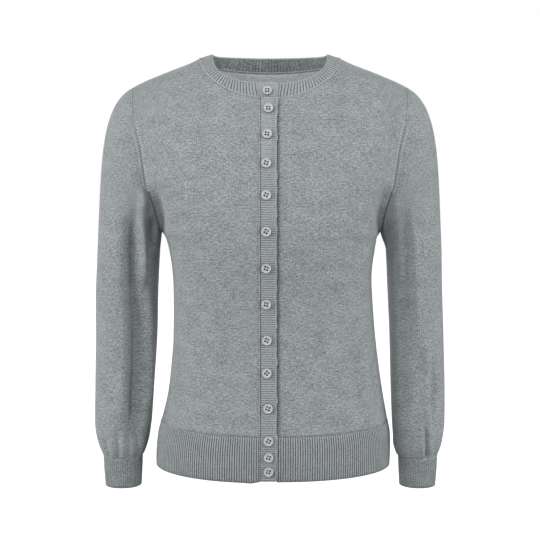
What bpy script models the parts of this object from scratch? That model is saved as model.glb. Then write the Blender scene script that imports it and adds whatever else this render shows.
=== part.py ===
"""A worn, buttoned crew-neck cardigan: each knitted piece is a thin wall on one garment form.

Metres. X runs across the wearer, -Y is the front and Z is up. "right" and "left" are the wearer's.
The origin is midway between the two shoulder points, level with the top edge of the neckband.
"""

import math
from collections import namedtuple

import bmesh
import bpy
from mathutils import Matrix, Vector

# Cloth and seams
PANEL_WALL = 0.0015
RIB_WALL = 0.0020
SEAM = 0.0003
WELD = 1e-6
SLOPE_STEP = 1e-4
NORMAL_STEP = 4e-3

# The garment form: sections across the body, from the hem up. middle is the section's centre in X.
Body = namedtuple("Body", "height half_width front back middle")
BODY = (
    Body(-0.575, 0.1580, 0.0980, 0.1000, 0.0040),
    Body(-0.544, 0.1597, 0.1030, 0.1050, 0.0042),
    Body(-0.511, 0.1581, 0.1040, 0.1050, 0.0055),
    Body(-0.494, 0.1545, 0.1030, 0.1030, 0.0061),
    Body(-0.461, 0.1474, 0.1000, 0.0980, 0.0072),
    Body(-0.427, 0.1424, 0.0975, 0.0920, 0.0068),
    Body(-0.378, 0.1373, 0.0955, 0.0830, 0.0058),
    Body(-0.328, 0.1349, 0.0980, 0.0795, 0.0041),
    Body(-0.295, 0.1347, 0.1040, 0.0815, 0.0030),
    Body(-0.263, 0.1385, 0.1100, 0.0860, 0.0027),
    Body(-0.246, 0.1425, 0.1120, 0.0885, 0.0020),
    Body(-0.237, 0.1485, 0.1130, 0.0900, 0.0016),
    Body(-0.209, 0.1593, 0.1130, 0.0940, 0.0006),
    Body(-0.177, 0.1770, 0.1090, 0.0970, 0.0000),
    Body(-0.126, 0.1970, 0.0970, 0.0960, 0.0000),
    Body(-0.086, 0.2120, 0.0835, 0.0870, 0.0000),
    Body(-0.043, 0.2200, 0.0680, 0.0710, 0.0000),
    Body(0.010, 0.2250, 0.0560, 0.0560, 0.0000),
)
BODY_POWER = 2.4

# The shoulder line in the front view, from the neck out, and how far below it the rounding over it reaches.
Shoulder = namedtuple("Shoulder", "reach height rounding")
SHOULDER = (
    Shoulder(0.0000, 0.0350, 0.110),
    Shoulder(0.0600, 0.0100, 0.100),
    Shoulder(0.0940, -0.0055, 0.092),
    Shoulder(0.1090, -0.0127, 0.087),
    Shoulder(0.1300, -0.0206, 0.080),
    Shoulder(0.1500, -0.0286, 0.072),
    Shoulder(0.1690, -0.0366, 0.065),
    Shoulder(0.1835, -0.0439, 0.060),
    Shoulder(0.2200, -0.0640, 0.060),
)
NECK_REACH = SHOULDER[2].reach

# The armhole seam in the front view, from the armpit up.
Armhole = namedtuple("Armhole", "height reach")
ARMHOLE = (
    Armhole(-0.2370, 0.1485),
    Armhole(-0.2090, 0.1530),
    Armhole(-0.1770, 0.1615),
    Armhole(-0.1260, 0.1695),
    Armhole(-0.0860, 0.1790),
    Armhole(-0.0439, 0.1835),
)
ARMPIT = ARMHOLE[0].height
SHOULDER_TIP = ARMHOLE[-1].height

# Sleeve sections, from the upper arm to the cuff seam. ahead is how far forward the centre lies.
Sleeve = namedtuple("Sleeve", "height reach half_width half_depth ahead")
SLEEVE_RIGHT = (
    Sleeve(-0.263, 0.1915, 0.0421, 0.0500, 0.0000),
    Sleeve(-0.320, 0.1948, 0.0422, 0.0490, -0.0030),
    Sleeve(-0.378, 0.1960, 0.0417, 0.0470, -0.0040),
    Sleeve(-0.444, 0.1985, 0.0400, 0.0450, 0.0020),
    Sleeve(-0.494, 0.2000, 0.0385, 0.0420, 0.0100),
    Sleeve(-0.511, 0.2005, 0.0362, 0.0395, 0.0130),
    Sleeve(-0.527, 0.2003, 0.0320, 0.0350, 0.0155),
    Sleeve(-0.5405, 0.2000, 0.0266, 0.0295, 0.0170),
)
SLEEVE_LEFT = (
    Sleeve(-0.263, 0.1950, 0.0374, 0.0500, 0.0000),
    Sleeve(-0.320, 0.1975, 0.0369, 0.0490, -0.0030),
    Sleeve(-0.378, 0.2003, 0.0366, 0.0470, -0.0040),
    Sleeve(-0.444, 0.2018, 0.0366, 0.0450, 0.0020),
    Sleeve(-0.494, 0.2022, 0.0356, 0.0420, 0.0100),
    Sleeve(-0.511, 0.2018, 0.0342, 0.0395, 0.0130),
    Sleeve(-0.527, 0.2010, 0.0318, 0.0350, 0.0155),
    Sleeve(-0.5405, 0.2004, 0.0270, 0.0295, 0.0170),
)
SLEEVE_POWER = 2.15
SLEEVE_TOP = SLEEVE_RIGHT[0].height
CUFF_SEAM = SLEEVE_RIGHT[-1].height
# Cuff sections, shared by both sides but for the reach.
CUFF = (
    Sleeve(CUFF_SEAM, 0.2000, 0.0264, 0.0290, 0.0170),
    Sleeve(-0.561, 0.1997, 0.0254, 0.0278, 0.0195),
    Sleeve(-0.5800, 0.1992, 0.0241, 0.0264, 0.0220),
)
CUFF_LEFT_OUT = 0.0012

# How the sleeve head leaves the armhole: the pitch of its surface below level, and its fullness.
CAP_PITCH_TOP = math.radians(28)
CAP_PITCH_FRONT = math.radians(52)
CAP_PITCH_UNDER = math.radians(86)
CAP_SPRING_TOP = 0.050
CAP_SPRING_UNDER = 0.008
CAP_SETTLE_TOP = 0.120
CAP_SETTLE_UNDER = 0.008
CAP_LEAN = 0.055

# Hem rib: its seam and its lower edge at the side seams, and how far both hang lower in the middle.
RIB_TOP = -0.4937
HEM = -0.5540
FRONT_DROOP_TOP = 0.0055
RIGHT_DROOP_HEM = 0.0058
LEFT_DROOP_HEM = 0.0043
BACK_DROOP = 0.0030

# Neckline seam and neckband top edge, as drops and depths from the shoulder points.
NECK_POINT = SHOULDER[2].height
NECK_FRONT_DROP = 0.0575
NECK_BACK_DROP = 0.0150
NECK_FRONT_POWER = 1.8
NECK_BACK_POWER = 2.2
EDGE_REACH = 0.0770
EDGE_FRONT_DROP = 0.0430
EDGE_BACK_DROP = 0.0020
EDGE_FRONT_DEPTH = 0.0650
EDGE_BACK_DEPTH = 0.0480
EDGE_POWER = 2.3
EDGE_DEPTH_POWER = 3.2

# The plackets lie on each other, the right one on top, between these two edges.
PLACKET_RIGHT_EDGE = -0.0127
PLACKET_LEFT_EDGE = 0.0089
OVERLAP_LIFT = RIB_WALL + SEAM
LIFT_RUN = 0.028
PLACKET_HEM_RISE = 0.0034

# Buttons: height on the placket and sideways place of each, from the neck down.
Button = namedtuple("Button", "height sideways turn")
BUTTONS = (
    Button(-0.0533, -0.0026, 90),
    Button(-0.0768, -0.0022, 45),
    Button(-0.1097, -0.0037, 50),
    Button(-0.1461, -0.0048, 40),
    Button(-0.1859, -0.0048, 62),
    Button(-0.2311, -0.0048, 70),
    Button(-0.2773, -0.0048, 62),
    Button(-0.3247, -0.0048, 75),
    Button(-0.3723, -0.0040, 50),
    Button(-0.4151, -0.0040, 30),
    Button(-0.4609, -0.0025, 72),
    Button(-0.5026, -0.0018, 65),
    Button(-0.5236, -0.0018, 78),
    Button(-0.5420, -0.0018, 85),
)
BUTTON_RADIUS = 0.0067
BUTTON_THICK = 0.0022
BUTTON_RIM = 0.0011
BUTTON_DISH = 0.0005
BUTTON_SHANK = 0.0005
BUTTON_SIDES = 20
HOLE_RADIUS = 0.0008
HOLE_SIDES = 6
HOLE_SPACING = 0.0013

# How finely the walls are divided
FRONT_COLUMNS = 10
BACK_COLUMNS = 10
LOWER_ROWS = 9
ARMHOLE_ROWS = 11
NECKLINE_ROWS = 7
CAP_ROWS = 6
SLEEVE_ROWS = 11
RIB_ROWS = 3
PLACKET_ROWS = 26
BAND_END_COLUMNS = 2
BAND_COLUMNS = 4 * NECKLINE_ROWS + 2 * BAND_END_COLUMNS


def mix(low, high, share):
    return low + (high - low) * share


def ease(share):
    share = min(1.0, max(0.0, share))
    return share * share * (3 - 2 * share)


def smooth(table, column, at, key="height"):
    """A table's column read at a place between its rows, on a smooth curve through them."""
    rows = sorted((getattr(row, key), getattr(row, column)) for row in table)
    if at <= rows[0][0]:
        return rows[0][1]
    if at >= rows[-1][0]:
        return rows[-1][1]
    last = len(rows) - 2
    i = next(k for k in range(last + 1) if at <= rows[k + 1][0])
    (x0, y0), (x1, y1) = rows[i], rows[i + 1]
    span = x1 - x0
    slope = (y1 - y0) / span
    before = slope if i == 0 else (y1 - rows[i - 1][1]) / (x1 - rows[i - 1][0])
    after = slope if i == last else (rows[i + 2][1] - y0) / (rows[i + 2][0] - x0)
    t = (at - x0) / span
    return (
        y0 * (1 + 2 * t) * (1 - t) ** 2
        + before * span * t * (1 - t) ** 2
        + y1 * t * t * (3 - 2 * t)
        - after * span * t * t * (1 - t)
    )


def shoulder_height(x):
    return smooth(SHOULDER, "height", abs(x), key="reach")


def skin(x, z, way):
    """The form's Y at a place seen from the front (way -1) or the back (way 1)."""
    off_middle = abs(x - smooth(BODY, "middle", z))
    share = min(1.0, off_middle / smooth(BODY, "half_width", z))
    depth = smooth(BODY, "front" if way < 0 else "back", z)
    bulge = (1 - share**BODY_POWER) ** (1 / BODY_POWER)
    reach = smooth(SHOULDER, "rounding", abs(x), key="reach")
    below = min(1.0, max(0.0, (shoulder_height(x) - z) / reach))
    rounding = math.sqrt(max(0.0, 1 - (1 - below) ** 2))
    return way * max(depth * bulge * rounding, SEAM / 2)


def skin_point(x, z, way, lift=0.0):
    """A point on the form, moved out along the form's own normal by lift."""
    point = Vector((x, skin(x, z, way), z))
    if lift:
        across = skin(x + SLOPE_STEP, z, way) - skin(x - SLOPE_STEP, z, way)
        up = skin(x, z + SLOPE_STEP, way) - skin(x, z - SLOPE_STEP, way)
        out = Vector((-across, 2 * SLOPE_STEP, -up)) * way
        point += out.normalized() * lift
    return point


def neckline(turn, way):
    """X and Z of the neckline seam: turn 0 is at the shoulder and a quarter turn is mid-front or mid-back."""
    power = 2 / (NECK_FRONT_POWER if way < 0 else NECK_BACK_POWER)
    drop = NECK_FRONT_DROP if way < 0 else NECK_BACK_DROP
    return (
        NECK_REACH * max(0.0, math.cos(turn)) ** power,
        NECK_POINT - drop * max(0.0, math.sin(turn)) ** power,
    )


def neckline_turn(x):
    """The front neckline's turn at a distance from the middle."""
    return math.acos((abs(x) / NECK_REACH) ** (NECK_FRONT_POWER / 2))


def column_share(across, inner, outer, half):
    """Even steps round the section, from the inner edge to the outer one, as shares of the way in X."""
    turn = [math.asin(min(1.0, abs(e) / half) ** (BODY_POWER / 2)) for e in (inner, outer)]
    low, high, here = (math.sin(a) ** (2 / BODY_POWER) for a in (*turn, mix(*turn, across)))
    return (here - low) / (high - low)


def overlap_lift(x):
    """How far the right front stands off the form, where it comes to lie on the left front."""
    return OVERLAP_LIFT * (1 - ease((PLACKET_RIGHT_EDGE - x) / LIFT_RUN))


def side_height(base, droop, x, half):
    return base - droop * max(0.0, 1 - (x / half) ** 2)


def lower_panel(side, way, inner, lifted):
    """Panel surface between the hem rib's seam and the armpit, as a function of across and up, 0 to 1."""

    def point(across, up):
        base = mix(RIB_TOP + SEAM / 2, ARMPIT, math.sin(up * math.pi / 2))
        half = smooth(BODY, "half_width", base)
        middle = smooth(BODY, "middle", base)
        outer = middle + side * half
        share = column_share(across, inner - middle, half, half)
        x = mix(inner, outer, share)
        droop = (FRONT_DROOP_TOP if way < 0 else BACK_DROOP) * (1 - math.sin(up * math.pi / 2))
        z = side_height(base, droop, x - middle, half)
        return skin_point(x, z, way, overlap_lift(x) if lifted else 0.0)

    return point


def armhole_height(up):
    """Height of the armhole seam, 0 at the armpit and 1 at the shoulder, in even steps round it."""
    return mix(ARMPIT, SHOULDER_TIP, (1 - math.cos(math.pi * up)) / 2)


def inner_edge(up, side, way, inner):
    """X and Z of a panel's inner edge above the armpit: up the placket or mid-back, then along the neckline."""
    corner_turn = neckline_turn(inner) if way < 0 else math.pi / 2
    corner = neckline(corner_turn, way)
    edge_share = 1 - NECKLINE_ROWS / ARMHOLE_ROWS
    if up <= edge_share:
        return inner, mix(ARMPIT, corner[1], up / edge_share)
    turn = mix(corner_turn, 0.0, (up - edge_share) / (1 - edge_share))
    x, z = neckline(turn, way)
    return side * x, z


def upper_panel(side, way, inner, lifted):
    """Panel surface between the armpit and the shoulder seam."""

    def point(across, up):
        outer_z = armhole_height(up)
        outer = smooth(BODY, "middle", outer_z) + side * smooth(ARMHOLE, "reach", outer_z)
        inner_x, inner_z = inner_edge(up, side, way, inner)
        half = smooth(BODY, "half_width", outer_z)
        middle = smooth(BODY, "middle", outer_z)
        share = column_share(across, inner_x - middle, outer - middle, half)
        x = mix(inner_x, outer, share)
        level = mix(inner_z, outer_z, share)
        below = mix(shoulder_height(inner_x) - inner_z, shoulder_height(outer) - outer_z, share)
        z = mix(level, shoulder_height(x) - below, up)
        return skin_point(x, z, way, overlap_lift(x) if lifted else 0.0)

    return point


def hem_strip(side, way, inner, lifted):
    """Hem rib surface, from its lower edge up to its seam."""

    def point(across, up):
        base = mix(HEM, RIB_TOP - SEAM / 2, up)
        half = smooth(BODY, "half_width", base)
        middle = smooth(BODY, "middle", base)
        share = column_share(across, inner - middle, half, half)
        x = mix(inner, middle + side * half, share)
        front_droop = mix(RIGHT_DROOP_HEM if side < 0 else LEFT_DROOP_HEM, FRONT_DROOP_TOP, up)
        droop = front_droop if way < 0 else BACK_DROOP
        z = side_height(base, droop, x - middle, half)
        return skin_point(x, z, way, overlap_lift(x) if lifted else 0.0)

    return point


def ring_point(table, side, turn, z, reach_more=0.0):
    """A point on a sleeve section: turn 0 is outermost and a quarter turn is the front."""
    across, ahead = math.cos(turn), math.sin(turn)
    radius = (abs(across) ** SLEEVE_POWER + abs(ahead) ** SLEEVE_POWER) ** (-1 / SLEEVE_POWER)
    reach = smooth(table, "reach", z) + reach_more + smooth(table, "half_width", z) * across * radius
    y = -smooth(table, "ahead", z) - smooth(table, "half_depth", z) * ahead * radius
    return Vector((side * reach, y, z))


def armhole_point(side, turn):
    """A point on the armhole seam: turn 0 is the shoulder and a half turn is the armpit."""
    z = mix(ARMPIT, SHOULDER_TIP, (1 + math.cos(turn)) / 2)
    x = smooth(BODY, "middle", z) + side * smooth(ARMHOLE, "reach", z)
    way = -1 if math.sin(turn) > 0 else 1
    point = Vector((x, skin(x, z, way), z))
    if abs(math.sin(turn)) < WELD:
        point.y = 0.0
    return point


def cap_direction(side, turn):
    """The way in which the sleeve head's surface leaves the armhole."""
    under = (1 - math.cos(turn)) / 2
    if under < 0.5:
        pitch = mix(CAP_PITCH_TOP, CAP_PITCH_FRONT, ease(under * 2))
    else:
        pitch = mix(CAP_PITCH_FRONT, CAP_PITCH_UNDER, ease(under * 2 - 1))
    forward = -0.25 * math.sin(turn)
    return Vector((side * math.cos(pitch), forward, -math.sin(pitch))).normalized()


def sleeve_cap(side, table):
    """Sleeve surface from the armhole seam to the first sleeve section, as a function of round and along."""

    def point(round_it, along):
        turn = 2 * math.pi * round_it
        under = (1 - math.cos(turn)) / 2
        way = cap_direction(side, turn)
        start = armhole_point(side, turn) + way * 2 * SEAM
        end = ring_point(table, side, turn, SLEEVE_TOP)
        leaving = start + way * mix(CAP_SPRING_TOP, CAP_SPRING_UNDER, under)
        settle = mix(CAP_SETTLE_TOP, CAP_SETTLE_UNDER, under)
        arriving = end + Vector((-side * CAP_LEAN * settle, 0, settle))
        left, t = 1 - along, along
        return (
            start * left**3
            + leaving * 3 * left * left * t
            + arriving * 3 * left * t * t
            + end * t**3
        )

    return point


def sleeve_tube(side, table, bottom, reach_more=0.0):
    top = table[0].height

    def point(round_it, along):
        return ring_point(table, side, 2 * math.pi * round_it, mix(top, bottom, along), reach_more)

    return point


def band_turn(x):
    """Turn round the neck, 0 mid-front and growing towards the wearer's right, at a place near mid-front."""
    return -math.copysign(math.pi / 2 - neckline_turn(x), x)


def strip_turn(around):
    """Turn at a share of the neckband's columns, which meet the columns of the panels round the neckline."""
    stops = (
        (BAND_END_COLUMNS, band_turn(PLACKET_LEFT_EDGE)),
        (NECKLINE_ROWS, band_turn(PLACKET_RIGHT_EDGE - SEAM / 2)),
        (NECKLINE_ROWS, math.pi / 2),
        (NECKLINE_ROWS, math.pi),
        (NECKLINE_ROWS, 1.5 * math.pi),
        (BAND_END_COLUMNS, 2 * math.pi + band_turn(PLACKET_LEFT_EDGE + SEAM / 2)),
        (0, 2 * math.pi + band_turn(PLACKET_RIGHT_EDGE)),
    )
    column = around * BAND_COLUMNS
    for (columns, start), (_, end) in zip(stops, stops[1:]):
        if column <= columns + WELD:
            break
        column -= columns
    return mix(start, end, column / columns)


def neck_strip(around, up):
    """Neckband surface: around runs from the top layer's end by the right shoulder to the under layer's end."""
    turn = strip_turn(around)
    front = math.cos(turn) > 0
    way = -1 if front else 1
    from_shoulder = math.asin(min(1.0, abs(math.cos(turn))))
    side = -1 if math.sin(turn) > 0 else 1
    x, z = neckline(from_shoulder, way)
    seam = skin_point(side * x, z, way)
    drop = EDGE_FRONT_DROP if front else EDGE_BACK_DROP
    depth = EDGE_FRONT_DEPTH if front else EDGE_BACK_DEPTH
    out, fall = math.cos(from_shoulder), math.sin(from_shoulder)
    edge = Vector(
        (
            side * EDGE_REACH * out ** (2 / EDGE_POWER),
            way * depth * fall ** (2 / EDGE_DEPTH_POWER),
            -drop * fall ** (2 / EDGE_POWER),
        )
    )
    lift = skin_point(side * x, z, way, overlap_lift(side * x)) - seam if turn < math.pi / 2 else Vector()
    return seam + lift + (edge - seam) * mix(2 * SEAM / (edge - seam).length, 1.0, up)


def placket(lift):
    """A placket strip from the hem to the neckline seam, lying on the form at a given lift."""

    def point(across, up):
        x = mix(PLACKET_RIGHT_EDGE + SEAM / 2, PLACKET_LEFT_EDGE - SEAM / 2, across)
        half = smooth(BODY, "half_width", HEM)
        bottom = side_height(HEM, RIGHT_DROOP_HEM, x, half) + PLACKET_HEM_RISE
        top = neckline(neckline_turn(x), -1)[1] - SEAM / 2
        return skin_point(x, mix(bottom, top, up), -1, lift)

    return point


def inside_body(point):
    return Vector((0.6 * point.x, 0, point.z - 0.05))


def inside_neck(point):
    return Vector((0.3 * point.x, 0.3 * point.y, point.z - 0.10))


def inside_sleeve(side, table):
    def centre(point):
        reach = smooth(table, "reach", point.z)
        return Vector((side * reach, -smooth(table, "ahead", point.z), min(point.z, SLEEVE_TOP) - 0.02))

    return centre


def surface_normal(point, u, v, inside):
    """Outward unit normal of a surface function at a place in its unit square."""
    u0, u1 = max(0.0, u - NORMAL_STEP), min(1.0, u + NORMAL_STEP)
    v0, v1 = max(0.0, v - NORMAL_STEP), min(1.0, v + NORMAL_STEP)
    along_u = point(u1, v) - point(u0, v)
    along_v = point(u, v1) - point(u, v0)
    normal = along_u.cross(along_v).normalized()
    here = point(u, v)
    return -normal if normal.dot(here - inside(here)) < 0 else normal


def add_patch(mesh, out, point, columns, rows, inside):
    """A grid of faces on a surface function, with its outward normals kept on its vertices."""
    made = bmesh.ops.create_grid(mesh, x_segments=columns, y_segments=rows, size=0.5)
    for vert in made["verts"]:
        u, v = vert.co.x + 0.5, vert.co.y + 0.5
        vert[out] = surface_normal(point, u, v, inside)
        vert.co = point(u, v)


def wall(name, patches, thickness, material, inside):
    """A closed wall of one thickness inward from one or more patches that meet edge to edge."""
    mesh = bmesh.new()
    out = mesh.verts.layers.float_vector.new("out")
    for point, columns, rows in patches:
        add_patch(mesh, out, point, columns, rows, inside)
    bmesh.ops.remove_doubles(mesh, verts=mesh.verts[:], dist=WELD)
    bmesh.ops.recalc_face_normals(mesh, faces=mesh.faces[:])
    outer_faces = mesh.faces[:]
    rim = [(e.verts[0], e.verts[1]) for e in mesh.edges if e.is_boundary]
    under = {v: mesh.verts.new(v.co - v[out] * thickness) for v in mesh.verts[:]}
    for face in outer_faces:
        mesh.faces.new([under[v] for v in face.verts][::-1])
    for a, b in rim:
        mesh.faces.new([a, b, under[b], under[a]])
    bmesh.ops.recalc_face_normals(mesh, faces=mesh.faces[:])
    return place(name, mesh, material)


def place(name, mesh, material):
    data = bpy.data.meshes.new(name)
    mesh.to_mesh(data)
    mesh.free()
    data.shade_smooth()
    data.set_sharp_from_angle(angle=math.radians(50))
    data.materials.append(material)
    body = bpy.data.objects.new(name, data)
    bpy.context.scene.collection.objects.link(body)
    return body


def finish(name, colour, roughness):
    material = bpy.data.materials.new(name)
    material.use_nodes = True
    shader = material.node_tree.nodes["Principled BSDF"]
    shader.inputs["Base Color"].default_value = (*colour, 1)
    shader.inputs["Roughness"].default_value = roughness
    shader.inputs["Metallic"].default_value = 0.0
    return material


def build_fronts(jersey):
    edges = {
        "right": (-1, PLACKET_RIGHT_EDGE - SEAM / 2, True),
        "left": (1, PLACKET_LEFT_EDGE + SEAM / 2, False),
    }
    for name, (side, inner, lifted) in edges.items():
        patches = [
            (lower_panel(side, -1, inner, lifted), FRONT_COLUMNS, LOWER_ROWS),
            (upper_panel(side, -1, inner, lifted), FRONT_COLUMNS, ARMHOLE_ROWS),
        ]
        wall(f"front_{name}", patches, PANEL_WALL, jersey, inside_body)


def build_back(jersey):
    patches = []
    for side in (-1, 1):
        patches.append((lower_panel(side, 1, 0.0, False), BACK_COLUMNS, LOWER_ROWS))
        patches.append((upper_panel(side, 1, 0.0, False), BACK_COLUMNS, ARMHOLE_ROWS))
    wall("back", patches, PANEL_WALL, jersey, inside_body)


def build_hem(rib):
    right = hem_strip(-1, -1, PLACKET_RIGHT_EDGE - SEAM / 2, True)
    left = hem_strip(1, -1, PLACKET_LEFT_EDGE + SEAM / 2, False)
    wall("hem_rib_right", [(right, FRONT_COLUMNS, RIB_ROWS)], RIB_WALL, rib, inside_body)
    wall("hem_rib_left", [(left, FRONT_COLUMNS, RIB_ROWS)], RIB_WALL, rib, inside_body)
    halves = [(hem_strip(side, 1, 0.0, False), BACK_COLUMNS, RIB_ROWS) for side in (-1, 1)]
    wall("hem_rib_back", halves, RIB_WALL, rib, inside_body)


def build_sleeves(jersey, rib):
    sides = {"right": (-1, SLEEVE_RIGHT, 0.0), "left": (1, SLEEVE_LEFT, CUFF_LEFT_OUT)}
    for name, (side, table, cuff_out) in sides.items():
        inside = inside_sleeve(side, table)
        round_columns = 2 * ARMHOLE_ROWS
        patches = [
            (sleeve_cap(side, table), round_columns, CAP_ROWS),
            (sleeve_tube(side, table, CUFF_SEAM + SEAM / 2), round_columns, SLEEVE_ROWS),
        ]
        wall(f"sleeve_{name}", patches, PANEL_WALL, jersey, inside)
        cuff = (CUFF[0]._replace(height=CUFF_SEAM - SEAM / 2), *CUFF[1:])
        tube = sleeve_tube(side, cuff, CUFF[-1].height, cuff_out)
        wall(f"cuff_{name}", [(tube, round_columns, RIB_ROWS)], RIB_WALL, rib, inside)


def build_neckband(rib):
    wall("neckband", [(neck_strip, BAND_COLUMNS, 2)], RIB_WALL, rib, inside_neck)


def build_plackets(rib):
    wall("placket_right", [(placket(OVERLAP_LIFT), 2, PLACKET_ROWS)], RIB_WALL, rib, inside_body)
    wall("placket_left", [(placket(0.0), 2, PLACKET_ROWS)], RIB_WALL, rib, inside_body)


def button_mesh():
    """A four-hole button about its own axis: a rimmed, slightly dished disc with its back at the origin."""
    mesh = bmesh.new()
    profile = (
        (BUTTON_RADIUS * 0.86, 0.0),
        (BUTTON_RADIUS, BUTTON_THICK * 0.45),
        (BUTTON_RADIUS * 0.93, BUTTON_THICK),
        (BUTTON_RADIUS - BUTTON_RIM, BUTTON_THICK),
        (BUTTON_RADIUS - BUTTON_RIM * 1.5, BUTTON_THICK - BUTTON_DISH),
    )
    rings = []
    for radius, height in profile:
        turns = [2 * math.pi * k / BUTTON_SIDES for k in range(BUTTON_SIDES)]
        rings.append([mesh.verts.new((radius * math.cos(a), radius * math.sin(a), height)) for a in turns])
    for low, high in zip(rings, rings[1:]):
        for k in range(BUTTON_SIDES):
            n = (k + 1) % BUTTON_SIDES
            mesh.faces.new((low[k], low[n], high[n], high[k]))
    mesh.faces.new(rings[0][::-1])
    mesh.faces.new(rings[-1])
    bmesh.ops.recalc_face_normals(mesh, faces=mesh.faces[:])
    return mesh


def pins_mesh():
    """Four pins on a square, which cut a button's sewing holes."""
    mesh = bmesh.new()
    for sx in (-1, 1):
        for sy in (-1, 1):
            shift = Matrix.Translation((sx * HOLE_SPACING, sy * HOLE_SPACING, BUTTON_THICK / 2))
            bmesh.ops.create_cone(
                mesh,
                cap_ends=True,
                segments=HOLE_SIDES,
                radius1=HOLE_RADIUS,
                radius2=HOLE_RADIUS,
                depth=4 * BUTTON_THICK,
                matrix=shift,
            )
    return mesh


def button_shape(resin):
    """The mesh that all the buttons share, with its holes cut."""
    disc = place("disc", button_mesh(), resin)
    pins = place("pins", pins_mesh(), resin)
    holes = disc.modifiers.new("holes", "BOOLEAN")
    holes.operation = "DIFFERENCE"
    holes.solver = "EXACT"
    holes.object = pins
    shape = bpy.data.meshes.new_from_object(disc.evaluated_get(bpy.context.evaluated_depsgraph_get()))
    bpy.data.objects.remove(disc)
    bpy.data.objects.remove(pins)
    return shape


def band_face(height, x):
    """A point on the neckband's top layer at a height, mid-front, and its outward normal."""
    across = (PLACKET_LEFT_EDGE - x) / (PLACKET_LEFT_EDGE - PLACKET_RIGHT_EDGE)
    around = across * BAND_END_COLUMNS / BAND_COLUMNS
    bottom, top = neck_strip(around, 0), neck_strip(around, 1)
    up = (height - bottom.z) / (top.z - bottom.z)
    return neck_strip(around, up), surface_normal(neck_strip, around, up, inside_neck)


def placket_face(height, x):
    """A point on the right placket at a height, and its outward normal."""
    outer, further = (skin_point(x, height, -1, lift) for lift in (OVERLAP_LIFT, OVERLAP_LIFT + 0.001))
    return outer, (further - outer).normalized()


def build_buttons(resin):
    shape = button_shape(resin)
    for number, row in enumerate(BUTTONS, start=1):
        seat = band_face if number == 1 else placket_face
        point, out = seat(row.height, row.sideways)
        button = bpy.data.objects.new(f"button_{number:02d}", shape)
        bpy.context.scene.collection.objects.link(button)
        button.matrix_world = (
            Matrix.Translation(point + out * BUTTON_SHANK)
            @ out.to_track_quat("Z", "Y").to_matrix().to_4x4()
            @ Matrix.Rotation(math.radians(row.turn), 4, "Z")
        )


def main():
    for old in list(bpy.data.objects):
        bpy.data.objects.remove(old)
    jersey = finish("grey_jersey_knit", (0.30, 0.33, 0.34), 0.95)
    rib = finish("grey_rib_knit", (0.25, 0.28, 0.29), 0.95)
    resin = finish("grey_button_resin", (0.42, 0.44, 0.45), 0.35)
    build_fronts(jersey)
    build_back(jersey)
    build_hem(rib)
    build_sleeves(jersey, rib)
    build_neckband(rib)
    build_plackets(rib)
    build_buttons(resin)


main()
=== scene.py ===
"""Looks for a worn, buttoned crew-neck cardigan in heathered grey knit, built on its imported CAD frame.

Metres. X runs across the wearer, -Y is the front and Z is up. "right" and "left" are the wearer's.
The origin is midway between the two shoulder points, level with the top edge of the neckband.
Each knitted piece follows the same garment form as its CAD solid, with ribs, seams and folds in its mesh.
"""

import logging
import math
from dataclasses import dataclass, replace
from enum import Enum, IntEnum, auto
from typing import Any, Callable, Sequence

import bmesh
import bpy
import numpy as np
from mathutils import Matrix, Vector

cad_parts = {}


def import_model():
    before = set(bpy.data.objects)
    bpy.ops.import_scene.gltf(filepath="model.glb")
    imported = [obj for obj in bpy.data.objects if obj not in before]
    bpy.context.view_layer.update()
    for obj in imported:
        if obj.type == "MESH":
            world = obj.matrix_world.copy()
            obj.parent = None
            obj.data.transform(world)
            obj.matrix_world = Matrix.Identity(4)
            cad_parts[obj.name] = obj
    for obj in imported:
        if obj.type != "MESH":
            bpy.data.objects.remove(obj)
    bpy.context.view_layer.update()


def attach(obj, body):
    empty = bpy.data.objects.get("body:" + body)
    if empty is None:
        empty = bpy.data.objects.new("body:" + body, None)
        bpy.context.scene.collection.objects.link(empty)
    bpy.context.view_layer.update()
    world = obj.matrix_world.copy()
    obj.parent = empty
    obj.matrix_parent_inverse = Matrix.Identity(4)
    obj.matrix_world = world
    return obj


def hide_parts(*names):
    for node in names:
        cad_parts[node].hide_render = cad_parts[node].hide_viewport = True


log = logging.getLogger("cardigan")

Array = np.ndarray
Material = bpy.types.Material
Surface = Callable[[Array, Array], Array]

ROOT = "root"
SIDES = (-1, 1)
PANEL_WALL = 0.0015
RIB_WALL = 0.0020
SEAM = 0.0003
WELD = 1e-6
PATCH_WELD = 2e-5
SLOPE_STEP = 1e-4
NORMAL_STEP = 2e-3
COURSES = "courses"
RIB_PITCH = 0.0032
JERSEY_SLOT = "grey_melange_jersey"
RIB_SLOT = "grey_melange_rib"
BUTTON_SLOT = "grey_button_resin"


# ---------------------------------------------------------------- measures and small sums


def mix(low: Any, high: Any, share: Any) -> Any:
    """A value between two others, at a share of the way."""
    return low + (high - low) * share


def ease(share: Any) -> Any:
    """A share that starts and ends gently."""
    share = np.clip(share, 0.0, 1.0)
    return share * share * (3 - 2 * share)


def power(base: Any, exponent: Any) -> Any:
    """A power of a base that may not go below nothing."""
    return np.maximum(base, 0.0) ** exponent


def unit(vectors: Array) -> Array:
    """Vectors in the last axis, each made one long."""
    return vectors / np.maximum(np.linalg.norm(vectors, axis=-1, keepdims=True), 1e-12)


def side_name(side: int) -> str:
    """The wearer's side, as it is called in the pieces' names."""
    return "right" if side < 0 else "left"


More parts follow.
